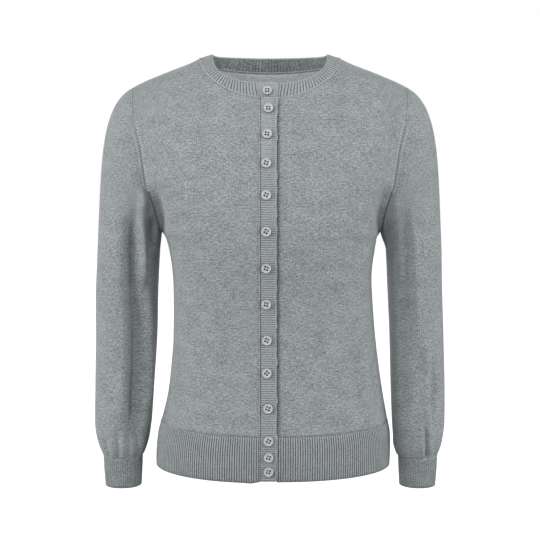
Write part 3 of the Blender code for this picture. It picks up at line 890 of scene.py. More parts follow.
@dataclass(frozen=True)
class HeatherKnit:
    """Fine-gauge knit of a heathered wool-blend yarn, spun from light, mid and dark grey fibres.

    The fibres mix unevenly along the yarn, so each course of stitches shows short pale and dark streaks.
    The surface is soft and dry with a little fuzz, so it has no gloss and a faint pale edge.
    Wales and courses are drawn coarser than this gauge's own, so that they show from the camera.

    Args:
        stitch: plain jersey, or rib with painted shade in its valleys.
        streak: length of the streaks; course, wale, fleck and blotch are lengths too.
        streak_share: the streaks' part in the colour, as fleck_share and blotch_share are theirs.
        spread: how far the dark and light fibres' stops lie from the middle.
        valley_shade: painted shade, the dark colour put between the ribs, with the edge and the strength of
            it.
        inner: whether this is the rib's inner side, where ridges and valleys change places, and the painted
            valley shade with them.
    """

    name: str
    stitch: Stitch
    dark: str = "#6B7173"
    mid: str = "#949A9C"
    light: str = "#B7BCBD"
    course: float = 0.0021
    wale: float = 0.0020
    streak: float = 0.0056
    fleck: float = 0.0014
    blotch: float = 0.025
    streak_share: float = 0.36
    fleck_share: float = 0.52
    blotch_share: float = 0.12
    bump_share: float = 0.6
    spread: float = 0.18
    # Painted shade: the colour put in the rib's valleys, how wide it reaches and how strong it is.
    valley_shade: str = "#2E3335"
    valley_shade_edge: tuple[float, float] = (0.12, 0.50)
    valley_shade_share: float = 0.85
    inner: bool = False

    def build(self) -> Material:
        """The material."""
        material, tree, shader = new_material(
            self.name, Roughness=0.95, Specular_IOR_Level=0.2, Sheen_Weight=0.30, Sheen_Roughness=0.5
        )
        place = add_node(tree, "ShaderNodeUVMap", {"uv_map": COURSES}).outputs["UV"]
        streaks = self.noise(tree, place, (1 / self.streak, 1 / self.course), 2.0)
        flecks = self.noise(tree, place, (1 / self.fleck, 1 / self.course), 1.0)
        blotches = self.noise(tree, place, (1 / self.blotch, 1.6 / self.blotch), 1.0)
        parts = ((streaks, self.streak_share), (flecks, self.fleck_share), (blotches, self.blotch_share))
        yarn = self.blend(tree, *parts)
        stops = ((0.5 - self.spread, self.dark), (0.5, self.mid), (0.5 + self.spread, self.light))
        colour = ramp(add_node(tree, "ShaderNodeValToRGB", Fac=yarn), stops)
        loops = self.loops(tree, place)
        # Ribs get painted shade in their valleys.
        if self.stitch is Stitch.RIB:
            colour = self.painted_valley_shade(tree, place, colour)
        height = self.blend(tree, (loops, self.bump_share), (flecks, self.bump_share))
        dress(tree, shader, colour, height, 0.35, 0.0004)
        return material

    def noise(self, tree: Any, place: Any, scale: tuple[float, float], detail: float) -> Any:
        """Uneven fibre colour at a scale across and along."""
        scaled = add_node(tree, "ShaderNodeMapping", Vector=place, Scale=(*scale, 1.0)).outputs["Vector"]
        settings = {"noise_dimensions": "2D"}
        inputs = {"Vector": scaled, "Scale": 1.0, "Detail": detail, "Roughness": 0.6}
        return add_node(tree, "ShaderNodeTexNoise", settings, **inputs).outputs["Fac"]

    def blend(self, tree: Any, *parts: tuple[Any, float]) -> Any:
        """Several values added up, each taken by its share."""
        total, *others = [self.sum(tree, "MULTIPLY", value, share) for value, share in parts]
        for other in others:
            total = self.sum(tree, "ADD", total, other)
        return total

    def sum(self, tree: Any, operation: str, a: Any, b: Any = 0.0) -> Any:
        """One sum on two values."""
        return add_node(tree, "ShaderNodeMath", {"operation": operation}, i0=a, i1=b).outputs["Value"]

    def loops(self, tree: Any, place: Any) -> Any:
        """Height of the loops: each wale is a column of small V shapes."""
        parts = add_node(tree, "ShaderNodeSeparateXYZ", Vector=place).outputs
        wale = self.sum(tree, "PINGPONG", parts["X"], self.wale / 2)
        lean = self.sum(tree, "MULTIPLY", wale, 2 * math.pi / self.course)
        climb = self.sum(tree, "MULTIPLY", parts["Y"], 2 * math.pi / self.course)
        rows = self.sum(tree, "SINE", self.sum(tree, "ADD", lean, climb))
        column = self.sum(tree, "SINE", self.sum(tree, "MULTIPLY", wale, 2 * math.pi / self.wale))
        return self.sum(tree, "ADD", self.sum(tree, "MULTIPLY", rows, 0.5), column)

    def painted_valley_shade(self, tree: Any, place: Any, colour: Any) -> Any:
        """Painted shade between the ribs: the valleys are drawn darker, as they would lie in shade."""
        across = add_node(tree, "ShaderNodeSeparateXYZ", Vector=place).outputs["X"]
        turn = self.sum(tree, "MULTIPLY", across, math.pi / RIB_PITCH)
        wave = self.sum(tree, "SINE" if self.inner else "COSINE", turn)
        ridge = self.sum(tree, "ABSOLUTE", wave)
        low, high = self.valley_shade_edge
        limits = {"i1": low, "i2": high, "i3": self.valley_shade_share, "i4": 0.0}
        depth = add_node(tree, "ShaderNodeMapRange", Value=ridge, **limits).outputs["Result"]
        settings = {"data_type": "RGBA", "blend_type": "MIX"}
        node = add_node(tree, "ShaderNodeMix", settings, i0=depth, i6=colour, i7=linear(self.valley_shade))
        return node.outputs[2]


@dataclass(frozen=True)
class SewingYarn:
    """One round end of spun yarn or thread: mottled pale and dark, dry and without gloss."""

    name: str
    dark: str = "#8E9597"
    light: str = "#BFC5C6"
    fleck: float = 0.0016

    def build(self) -> Material:
        """The material."""
        material, tree, shader = new_material(
            self.name, Roughness=0.95, Specular_IOR_Level=0.2, Sheen_Weight=0.12, Sheen_Roughness=0.6
        )
        colour, noise = mottled(tree, 1 / self.fleck, 0.6, self.dark, self.light)
        dress(tree, shader, colour, noise, 0.4, 0.0002)
        return material


@dataclass(frozen=True)
class ButtonResin:
    """Cast polyester resin, turned and tumbled smooth: a soft low gloss over a plain pale grey."""

    name: str = "cast_resin_button_grey"
    face: str = "#C3C4C7"
    cloud: str = "#B5B7BA"

    def build(self) -> Material:
        """The material."""
        material, tree, shader = new_material(self.name, Roughness=0.38, IOR=1.56)
        colour, _ = mottled(tree, 300.0, 0.5, self.cloud, self.face)
        tree.links.new(colour, shader.inputs["Base Color"])
        return material


# ---------------------------------------------------------------- knitted pieces


def ribbed(height: float, ribs: int, fade: Callable[[Grid], Array] | None = None) -> Relief:
    """Relief of an even rib along a grid's columns."""

    def relief(grid: Grid) -> Array:
        lift = rib(grid.u * ribs, height)
        return lift * fade(grid) if fade else lift

    return relief


def rib_courses(ribs: int) -> Courses:
    """A rib's pattern: each rib is one pitch wide in the UV map, and the length along it is real."""

    def courses(grid: Grid) -> Array:
        return np.stack([grid.u * ribs * RIB_PITCH, grid.along(0)], axis=-1)

    return courses


def even(surface: Surface, at: float = 0.5) -> Surface:
    """The same surface with its first share even in length of cloth."""
    shares = np.linspace(0.0, 1.0, 2001)
    line = surface(shares, np.full_like(shares, at))
    steps = np.linalg.norm(np.diff(line, axis=0), axis=-1)
    lengths = np.concatenate(([0.0], np.cumsum(steps))) / steps.sum()

    def point(across: Array, up: Array) -> Array:
        return surface(np.interp(across, lengths, shares), up)

    return point


def crowded(surface: Surface, bend: float = 1.4) -> Surface:
    """The same surface with its columns closer together by the armhole, where its first share ends."""

    def point(across: Array, up: Array) -> Array:
        return surface(1 - (1 - across) ** bend, up)

    return point


@dataclass(frozen=True)
class Line:
    """Places along a seam: points, the way along it, and the way out of the cloth."""

    points: Array
    ways: Array
    outs: Array

    @staticmethod
    def through(points: Array, outs: Array) -> "Line":
        """A line through points with known ways out."""
        ways = unit(np.gradient(points, axis=0))
        outs = unit(outs - ways * np.sum(outs * ways, axis=-1, keepdims=True))
        return Line(points, ways, outs)

    def spaced(self, pitch: float) -> "Line":
        """The same line with its points one pitch apart."""
        steps = np.linalg.norm(np.diff(self.points, axis=0), axis=-1)
        lengths = np.concatenate(([0.0], np.cumsum(steps)))
        at = np.linspace(0, lengths[-1], max(2, round(lengths[-1] / pitch) + 1))
        read = [
            np.stack([np.interp(at, lengths, column) for column in values.T], axis=-1)
            for values in (self.points, self.outs)
        ]
        return Line.through(*read)

    def part(self, start: float, end: float) -> "Line":
        """A stretch of the line between two shares of its points."""
        last = len(self.points) - 1
        pick = slice(round(start * last), round(end * last) + 1)
        return Line(self.points[pick], self.ways[pick], self.outs[pick])

    def moved(self, outwards: float) -> "Line":
        """The line moved out of the cloth."""
        return Line(self.points + self.outs * outwards, self.ways, self.outs)


class Edge(Enum):
    """An edge of a surface: where its first share ends, or where its second starts or ends."""

    RIGHT = auto()
    BOTTOM = auto()
    TOP = auto()


def beside(
    surface: Surface,
    edge: Edge,
    gap: float,
    inside: Callable[[Array], Array],
    span: tuple[float, float] = (0.0, 1.0),
) -> Line:
    """The line on a surface at a distance from one of its edges."""
    along = np.linspace(*span, 241)[:, None]
    share = np.linspace(0.0, 0.3, 121)[None, :] ** 1.5
    far = edge is not Edge.BOTTOM
    upright = edge is Edge.RIGHT

    def at(place: Array, cross: Array) -> Array:
        cross = 1 - cross if far else cross
        place, cross = np.broadcast_arrays(place, cross)
        return surface(cross, place) if upright else surface(place, cross)

    steps = np.linalg.norm(np.diff(at(along, share), axis=1), axis=-1)
    lengths = np.concatenate([np.zeros((len(along), 1)), np.cumsum(steps, axis=1)], axis=1)
    here = np.array([[np.interp(gap, row, share[0])] for row in lengths])
    points = at(along, here)[:, 0]
    outs = np.cross(np.gradient(points, axis=0), at(along, here + 1e-3)[:, 0] - points)
    outs = outs * np.sign(np.sum(outs * (points - inside(points)), axis=-1, keepdims=True))
    return Line.through(points, outs)


@dataclass(frozen=True)
class Cord:
    """A round cord along a seam: plain, or plump where each stitch of its chain bulges."""

    line: Line
    radius: float
    pitch: float = 0.0
    plump: float = 0.35
    plain_step: float = 0.0025
    end_share: float = 0.3
    sides: int = 8
    closed: bool = False

    def add_to(self, mesh: bmesh.types.BMesh) -> None:
        """Adds the cord's faces to a mesh."""
        line = self.line.spaced(self.pitch / 4 if self.pitch else self.plain_step)
        count = len(line.points)
        beside_it = np.cross(line.ways, line.outs)
        bulge = np.abs(np.sin(np.arange(count) * math.pi / 4)) if self.pitch else np.ones(count)
        radius = self.radius * (1 - self.plump + self.plump * bulge) if self.pitch else self.radius * bulge
        if not self.closed:
            ends = np.minimum(np.arange(count), np.arange(count)[::-1])
            radius = radius * np.where(ends == 0, self.end_share, 1.0)
        made = bmesh.ops.create_grid(mesh, x_segments=count - 1, y_segments=self.sides, size=0.5)["verts"]
        for vert in made:
            i, turn = round((vert.co.x + 0.5) * (count - 1)), (vert.co.y + 0.5) * 2 * math.pi
            out = line.outs[i] * math.cos(turn) + beside_it[i] * math.sin(turn)
            vert.co = line.points[i] + out * radius[i]


@dataclass(frozen=True)
class CordSize:
    """The size of a seam's cord.

    Args:
        radius: of the cord.
        inset: how deep its middle lies in the cloth.
        pitch: from stitch to stitch; 0 is a plain cord.
    """

    radius: float
    inset: float = 0.0
    pitch: float = 0.0

    def on(self, line: Line, closed: bool = False) -> Cord:
        """A cord of this size along a line."""
        return Cord(line.moved(-self.inset), self.radius, self.pitch, closed=closed)


@dataclass(frozen=True)
class StitchRun:
    """A row of separate small stitches, each a plump loop.

    Args:
        line: where they lie.
        pitch: from one to the next.
        size: length, width and height of each.
        tilt: turn of each from the line's own way, in degrees.
    """

    line: Line
    pitch: float
    size: tuple[float, float, float]
    tilt: float = 0.0

    def add_to(self, mesh: bmesh.types.BMesh) -> None:
        """Adds the stitches to a mesh: one loop is made, and repeated along the line."""
        line = self.line.spaced(self.pitch)
        one = bmesh.new()
        shape = Matrix.Rotation(math.radians(self.tilt), 4, "Z") @ Matrix.Diagonal((*self.size, 2.0)) * 0.5
        bmesh.ops.create_uvsphere(one, u_segments=6, v_segments=4, radius=1.0, matrix=shape)
        loop = np.array([vert.co for vert in one.verts])
        faces = [[vert.index for vert in face.verts] for face in one.faces]
        one.free()
        axes = np.stack([line.ways, np.cross(line.outs, line.ways), line.outs], axis=1)
        places = np.einsum("vk,nkc->nvc", loop, axes) + line.points[:, None, :]
        data = bpy.data.meshes.new("loops")
        repeats = [[index + k * len(loop) for index in face] for k in range(len(axes)) for face in faces]
        data.from_pydata(places.reshape(-1, 3).tolist(), [], repeats)
        mesh.from_mesh(data)
        bpy.data.meshes.remove(data)


def sewing(name: str, parts: Sequence[Any], material: Material, slot: str) -> bpy.types.Object:
    """One piece made of cords and stitches."""
    mesh = bmesh.new()
    for part in parts:
        part.add_to(mesh)
    bmesh.ops.remove_doubles(mesh, verts=mesh.verts[:], dist=WELD)
    bmesh.ops.recalc_face_normals(mesh, faces=mesh.faces[:])
    piece = placed_object(name, mesh, material)
    fit(piece, slot)
    log.info("%s: %d faces", name, len(piece.data.polygons))
    return piece


@dataclass(frozen=True)
class Panels:
    """The two fronts and the back, in plain jersey."""

    body: BodyForm
    front_columns: int = 84
    back_columns: int = 56
    lower_rows: int = 96
    upper_rows: int = 96
    seam_depth: float = 0.0010
    seam_width: float = 0.0011
    flat_by_seam: float = 0.010

    def front(self, side: int) -> ClothPiece:
        """One front, from the placket to the side and the armhole."""
        patches = self.pair(side, -1, self.front_columns, self.front_creases(side))
        return ClothPiece(f"front_{side_name(side)}", patches, PANEL_WALL, JERSEY_SLOT, (0.20, 0.50), 0.080)

    def back(self) -> ClothPiece:
        """The back, in one piece."""
        patches: tuple[Patch, ...] = ()
        for side in SIDES:
            patches += self.pair(side, 1, self.back_columns, self.back_creases(side))
        return ClothPiece("back", patches, PANEL_WALL, JERSEY_SLOT, (0.42, 0.50), 0.180)

    def pair(self, side: int, way: int, columns: int, creases: Sequence[Crease]) -> tuple[Patch, ...]:
        """The stretches of a panel below and above the armpit."""
        inner = self.body.inner_x(side, way, SEAM / 2)

        def courses(grid: Grid) -> Array:
            return self.body.developed(grid.points, way)

        def relief(upper: bool) -> Relief:
            def lift(grid: Grid) -> Array:
                place = grid.points[..., [0, 2]]
                total = folded(creases, place)
                if upper:
                    from_seam = grid.along(1, from_end=True)
                    total = total * ease(from_seam / self.flat_by_seam)
                    total = total - self.seam_depth * np.exp(-((from_seam / self.seam_width) ** 2))
                return total

            return lift

        made = []
        for maker, rows, upper in (
            (self.body.lower_panel, self.lower_rows, False),
            (self.body.upper_panel, self.upper_rows, True),
        ):
            surface = crowded(maker(side, way, inner))
            made.append(Patch(surface, columns, rows, courses, relief(upper), inside_body))
        return tuple(made)

    def front_creases(self, side: int) -> list[Crease]:
        """The worn folds of one front: X and Z of each."""
        folds = [
            Crease(((side * 0.153, -0.252), (side * 0.149, -0.208), (side * 0.156, -0.168)), -0.0078, 0.0100),
            Crease(((side * 0.1325, -0.375), (side * 0.1385, -0.425), (side * 0.148, -0.485)), -0.003, 0.003),
            Crease(((side * 0.135, -0.250), (side * 0.112, -0.262), (side * 0.085, -0.268)), -0.0008, 0.0060),
            Crease(((side * 0.138, -0.228), (side * 0.115, -0.222), (side * 0.090, -0.208)), -0.0007, 0.0060),
        ]
        if side > 0:
            folds += [
                Crease(((0.0100, -0.075), (0.0100, -0.280), (0.0100, -0.492)), -0.0015, 0.0026, (0.05, 0.02)),
                Crease(((0.104, -0.430), (0.101, -0.462), (0.098, -0.492)), 0.0015, 0.0080),
                Crease(((0.114, -0.375), (0.114, -0.430), (0.112, -0.488)), -0.0065, 0.0095),
                Crease(((0.128, -0.385), (0.130, -0.430), (0.132, -0.485)), 0.0020, 0.0060),
            ]
        else:
            folds.append(Crease(((-0.112, -0.430), (-0.108, -0.462), (-0.104, -0.490)), -0.0012, 0.0100))
        return folds

    def back_creases(self, side: int) -> list[Crease]:
        """The worn folds of one half of the back: X and Z of each."""
        return [
            Crease(((side * 0.150, -0.238), (side * 0.150, -0.205), (side * 0.156, -0.168)), -0.0035, 0.0080),
            Crease(((side * 0.120, -0.300), (side * 0.070, -0.322), (side * 0.015, -0.330)), -0.0016, 0.0090),
            Crease(((side * 0.118, -0.345), (side * 0.080, -0.356), (side * 0.040, -0.352)), -0.0013, 0.0080),
        ]


@dataclass(frozen=True)
class HemRibs:
    """The hem's rib: two fronts that end under the plackets, and the back."""

    body: BodyForm
    height: float = 0.00042
    steps: int = 8
    rows: int = 14

    def piece(self, name: str, way: int, sides: Sequence[int], flat: tuple[float, float]) -> ClothPiece:
        """One stretch of hem."""
        patches = []
        for side in sides:
            surface = even(self.body.hem_strip(side, way, self.body.inner_x(side, way, SEAM / 2)))
            line = surface(np.linspace(0, 1, 400), np.full(400, 0.5))
            length = float(np.linalg.norm(np.diff(line, axis=0), axis=-1).sum())
            ribs = round(length / RIB_PITCH)
            columns, relief = ribs * self.steps, ribbed(self.height, ribs)
            patches.append(Patch(surface, columns, self.rows, rib_courses(ribs), relief, inside_body))
        return ClothPiece(name, tuple(patches), RIB_WALL, RIB_SLOT, flat)

    def pieces(self) -> list[ClothPiece]:
        """All three stretches."""
        return [
            self.piece("hem_rib_right", -1, (-1,), (0.19, 0.062)),
            self.piece("hem_rib_left", -1, (1,), (0.19, 0.062)),
            self.piece("hem_rib_back", 1, SIDES, (0.42, 0.062)),
        ]


@dataclass(frozen=True)
class SleevePiece:
    """One sleeve in jersey and its cuff in rib."""

    form: SleeveForm
    creases: tuple[Crease, ...]
    columns: int = 60
    cap_rows: int = 56
    tube_rows: int = 130
    cuff_ribs: int = 54
    cuff_steps: int = 7
    cuff_rows: int = 10
    rib_height: float = 0.00030
    seam_depth: float = 0.0010
    seam_width: float = 0.0011
    flat_by_seam: float = 0.014
    girth: float = 0.27

    def pieces(self) -> list[ClothPiece]:
        """The sleeve and its cuff."""
        rows = self.cap_rows + self.tube_rows
        surface = self.form.whole(self.cap_rows / rows)
        halves = tuple(
            Patch(surface, self.columns, rows, self.courses(span[0] > 0), self.relief, self.form.inside, span)
            for span in ((0.0, 0.5), (0.5, 1.0))
        )
        tube = Patch(
            self.form.cuff(),
            self.cuff_ribs * self.cuff_steps,
            self.cuff_rows,
            rib_courses(self.cuff_ribs),
            ribbed(self.rib_height, self.cuff_ribs),
            self.form.inside,
        )
        name = side_name(self.form.side)
        return [
            ClothPiece(f"sleeve_{name}", halves, PANEL_WALL, JERSEY_SLOT, (0.30, 0.46), 0.115),
            ClothPiece(f"cuff_{name}", (tube,), RIB_WALL, RIB_SLOT, (0.17, 0.040)),
        ]

    def courses(self, late: bool) -> Courses:
        """Wales run down from the outermost line, and meet at the seam under the arm."""

        def place(grid: Grid) -> Array:
            round_it = -grid.along(1, from_end=True) if late else grid.along(1)
            down = grid.along(0)
            return np.stack([round_it, down[self.cap_rows] - down], axis=-1)

        return place

    def relief(self, grid: Grid) -> Array:
        """Folds, in metres round from the outermost line and in height, and the armhole seam's groove."""
        place = np.stack([(grid.u % 1.0) * self.girth, grid.points[..., 2]], axis=-1)
        from_seam = grid.along(0)
        folds = folded(self.creases, place) * ease(from_seam / self.flat_by_seam)
        return folds - self.seam_depth * np.exp(-((from_seam / self.seam_width) ** 2))


@dataclass(frozen=True)
class Neckband:
    """The rib band round the neck, whose right end lies over its left end and takes the top button."""

    neck: NeckForm
    ribs: int = 124
    steps: int = 10
    rows: int = 10
    height: float = 0.00042
    plain_end: float = 0.047
    plain_tone: float = 0.25
    end_run: float = 0.004
    edge_run: float = 0.12
    groove_depth: float = 0.0009
    groove_width: float = 0.0018

    def piece(self) -> ClothPiece:
        """The band."""
        surface = self.neck.strip()

        def fade(grid: Grid) -> Array:
            return ease((grid.u - self.plain_end) / self.end_run) * ease((1.0 - grid.v) / self.edge_run)

        def relief(grid: Grid) -> Array:
            groove = np.exp(-(((grid.u - self.plain_end) / self.groove_width) ** 2))
            return ribbed(self.height, self.ribs, fade)(grid) - self.groove_depth * groove

        def courses(grid: Grid) -> Array:
            phase = grid.u * self.ribs
            plain = mix(np.round(phase), phase, self.plain_tone)
            phase = np.where(grid.u < self.plain_end, plain, phase)
            return np.stack([phase * RIB_PITCH, grid.along(0)], axis=-1)

        patch = Patch(surface, self.ribs * self.steps, self.rows, courses, relief, inside_neck)
        return ClothPiece("neckband", (patch,), RIB_WALL, RIB_SLOT, (0.44, 0.020))


@dataclass(frozen=True)
class Plackets:
    """The two button bands, knitted sideways: their ribs lie across the front.

    Their ribs fade near the neck, where the worn cloth is smooth. The outer edge rolls a little.
    """

    body: BodyForm
    ribs: int = 168
    steps: int = 8
    hidden_steps: int = 4
    rows: int = 18
    height: float = 0.00040
    seam_depth: float = 0.0009
    seam_width: float = 0.0012
    roll: float = 0.0005
    roll_at: float = 0.93
    roll_width: float = 0.05
    edge_run: float = 0.06
    edge_relief: float = 0.15
    smooth_from: float = 0.79
    smooth_run: float = 0.14
    smooth_across: float = 0.60
    smooth_fade: float = 0.15
    smooth_relief: float = 0.28
    # Where the ribs are smooth, the colour is read this far into the painted valley shade, to draw that cloth
    # darker.
    smooth_shade_phase: float = 0.352

    def pieces(self) -> list[ClothPiece]:
        """The right band, which lies on top, and the left one under it."""
        made = []
        for name, lift, steps in (
            ("placket_right", self.body.overlap_lift, self.steps),
            ("placket_left", 0.0, self.hidden_steps),
        ):
            surface = even(self.body.placket(lift))

            def fade(grid: Grid) -> Array:
                smooth = ease((grid.u - self.smooth_from) / self.smooth_run)
                smooth = smooth * (1 - ease((grid.v - self.smooth_across) / self.smooth_fade))
                across = ease(grid.v / self.edge_run) * ease((self.roll_at - grid.v) / self.edge_run)
                return mix(1.0, self.smooth_relief, smooth) * mix(self.edge_relief, 1.0, across)

            def relief(grid: Grid) -> Array:
                seam = self.seam_depth * np.exp(-((grid.along(0) / self.seam_width) ** 2))
                roll = self.roll * np.exp(-(((self.roll_at - grid.v) / self.roll_width) ** 2))
                return ribbed(self.height, self.ribs, fade)(grid) - seam + roll

            def courses(grid: Grid) -> Array:
                phase = grid.u * self.ribs
                # Smooth cloth takes part of the ribs' painted valley shade.
                phase = mix(np.round(phase) + self.smooth_shade_phase, phase, fade(grid))
                return np.stack([phase * RIB_PITCH, grid.along(0)], axis=-1)

            patch = Patch(surface, self.ribs * steps, self.rows, courses, relief, inside_body)
            made.append(ClothPiece(name, (patch,), RIB_WALL, RIB_SLOT, (0.50, 0.022)))
        return made


# ---------------------------------------------------------------- buttons and sewing


@dataclass(frozen=True)
class ArmholeSeam:
    """A linked armhole seam: a cord in its groove, and columns of slanting stitches by its middle third."""

    body: BodyForm
    form: SleeveForm
    cord: CordSize = CordSize(0.0009, 0.0008, 0.0015)
    gaps: tuple[float, float] = (0.0017, 0.0042)
    stitch: tuple[float, float, float] = (0.0036, 0.0016, 0.0020)
    raised: float = 0.0001
    pitch: float = 0.0040
    tilt: float = 42.0
    up_panel: tuple[float, float] = (0.36, 0.66)
    down_sleeve: tuple[float, float] = (0.18, 0.32)

    def build(self, yarn: Material, pale: Material) -> None:
        """Makes the seam's two pieces."""
        side, name = self.form.side, side_name(self.form.side)
        points = self.form.armhole(np.linspace(0, 2 * math.pi, 321))
        outs = unit(points - self.form.inside(points) + np.array([-side * 0.02, 0.0, 0.02]))
        cord = self.cord.on(Line.through(points, outs), closed=True)
        sewing(f"armhole_seam_{name}", [cord], yarn, JERSEY_SLOT)
        columns = self.columns(-1) + self.columns(1)
        # The stitches take pale, a lighter copy of the wool: painted light on the raised stitches.
        sewing(f"armhole_stitches_{name}", columns, pale, JERSEY_SLOT)

    def columns(self, way: int) -> list[StitchRun]:
        """The columns of stitches on the panel and on the sleeve, at the front (way -1) or the back."""
        side, cap = self.form.side, self.form.cap()
        panel = self.body.upper_panel(side, way, self.body.inner_x(side, way))
        down_sleeve = self.down_sleeve if way < 0 else tuple(1 - share for share in self.down_sleeve)
        lines = []
        for gap in self.gaps:
            lines.append(beside(panel, Edge.RIGHT, gap, inside_body, self.up_panel))
            lines.append(beside(cap, Edge.BOTTOM, gap, self.form.inside, down_sleeve))
        tilt = self.tilt * side * way
        return [StitchRun(line.moved(self.raised), self.pitch, self.stitch, tilt) for line in lines]


@dataclass(frozen=True)
class Seams:
    """The other seams: neckline, shoulders, sides, hem rib, cuffs, plackets and the neck's rolled edge."""

    body: BodyForm
    neck: NeckForm
    sleeves: tuple[SleeveForm, ...]
    neckline: CordSize = CordSize(0.0012, 0.0, 0.0018)
    neck_chain: CordSize = CordSize(0.0011, RIB_WALL + 0.0004, 0.0018)
    rolled_edge: CordSize = CordSize(0.0011, RIB_WALL / 2)
    hem: CordSize = CordSize(0.0009, 0.0009, 0.0016)
    hem_side: CordSize = CordSize(0.0009, 0.0008)
    panel: CordSize = CordSize(0.0007, 0.0006)
    cuff: CordSize = CordSize(0.0010, 0.0004, 0.0018)
    placket: CordSize = CordSize(0.0008, 0.0002, 0.0024)
    dots_past_edge: float = 0.0007
    dots_inset: float = 0.0004
    dots_change: float = -0.20
    chain_past_edge: float = 0.0009
    below_neck: float = 0.002

    def build(self, yarn: Material, dark: Material) -> None:
        """Makes the seams' pieces."""
        band = self.neck.strip()
        neckline = beside(band, Edge.BOTTOM, 0.0, inside_neck)
        rolled = beside(band, Edge.TOP, 0.0, inside_neck)
        sewing("neckline_seam", [self.neckline.on(neckline)], yarn, RIB_SLOT)
        sewing("neckline_inner_chain", [self.neck_chain.on(neckline.part(0.25, 0.75))], yarn, RIB_SLOT)
        sewing("neckband_rolled_edge", [self.rolled_edge.on(rolled)], yarn, RIB_SLOT)
        sewing("hem_rib_seam", [self.hem_seam(side, way) for side in SIDES for way in SIDES], yarn, RIB_SLOT)
        for form in self.sleeves:
            cord = self.cuff.on(Line.through(*form.cuff_seam()), closed=True)
            sewing(f"cuff_seam_{side_name(form.side)}", [cord], yarn, RIB_SLOT)
        # dark is the yarn that carries painted shade of the gaps between stitches.
        self.placket_linking(yarn, dark)
        sides = [cord for side in SIDES for cord in self.side_seams(side)]
        sewing("side_and_shoulder_seams", sides, yarn, JERSEY_SLOT)

    def hem_seam(self, side: int, way: int) -> Cord:
        """The cord between a panel and its hem rib."""
        strip = self.body.hem_strip(side, way, self.body.inner_x(side, way))
        return self.hem.on(beside(strip, Edge.TOP, 0.0, inside_body))

    def side_seams(self, side: int) -> list[Cord]:
        """The cords up a side, beside hem rib and panel, and along the shoulder."""
        return [
            size.on(beside(maker(side, -1, 0.0), edge, 0.0, inside_body))
            for maker, edge, size in (
                (self.body.hem_strip, Edge.RIGHT, self.hem_side),
                (self.body.lower_panel, Edge.RIGHT, self.panel),
                (self.body.upper_panel, Edge.TOP, self.panel),
            )
        ]

    def placket_linking(self, yarn: Material, dark: Material) -> None:
        """What links the right front to its placket: a chain, and dark stitches that carry painted shade of
        the gaps between stitches, closer by the hem.
        """
        edge, bottom = self.body.placket_right_edge, self.body.rib_top
        top = float(self.body.neckline(self.body.neckline_turn(edge), -1)[1]) - self.below_neck
        dots = []
        for low, high, pitch, width in (
            (bottom, self.dots_change, 0.0034, 0.0015),
            (self.dots_change, top, 0.0048, 0.0009),
        ):
            line = self.upright(edge + self.dots_past_edge, np.linspace(low, high, 201))
            dots.append(StitchRun(line.moved(-self.dots_inset), pitch, (pitch * 0.45, width, 0.0015)))
        # The dots are dark: painted shade where the stitches gape.
        sewing("placket_linking_stitches", dots, dark, RIB_SLOT)
        line = self.upright(edge - self.chain_past_edge, np.linspace(bottom, top, 301))
        sewing("placket_linking_chain", [self.placket.on(line)], yarn, RIB_SLOT)
        base = beside(self.neck.strip(), Edge.BOTTOM, 0.0012, inside_neck, (0.006, 0.044)).moved(0.0002)
        # These oblique stitches are dark too: painted shade of the gaps at the band's end.
        oblique = [StitchRun(base, 0.0030, (0.0026, 0.0011, 0.0012), 50.0)]
        sewing("neckband_end_linking_stitches", oblique, dark, RIB_SLOT)

    def upright(self, x: float, z: Array) -> Line:
        """An upright line on the cloth where the right front meets its placket."""
        points = self.body.skin_point(x, z, -1, self.body.overlap_lift)
        return Line.through(points, self.body.skin_normal(self.body.placket_right_edge, z, -1))


class ButtonFinish(IntEnum):
    """A button's finishes, in the order in which its mesh holds them."""

    FACE = 0
    # Painted shade: near-black plugs in the holes.
    HOLE_SHADE = 1
    THREAD_BARS = 2
    # Painted shade: a dark ring round the button's outer edge.
    EDGE_SHADE = 3


def add_peg(
    mesh: bmesh.types.BMesh,
    place: Matrix,
    sides: int,
    radii: tuple[float, float],
    length: float,
    finish: ButtonFinish = ButtonFinish.FACE,
) -> None:
    """Adds a round peg to a mesh.

    Args:
        mesh: what it is added to.
        place: where its middle lies, and how it is turned and flattened.
        sides: how many it has.
        radii: at its lower and upper end.
        length: from end to end.
        finish: what it is made of.
    """
    old = len(mesh.faces)
    size = {"segments": sides, "radius1": radii[0], "radius2": radii[1], "depth": length}
    bmesh.ops.create_cone(mesh, cap_ends=True, matrix=place, **size)
    for face in mesh.faces[old:]:
        face.material_index = finish


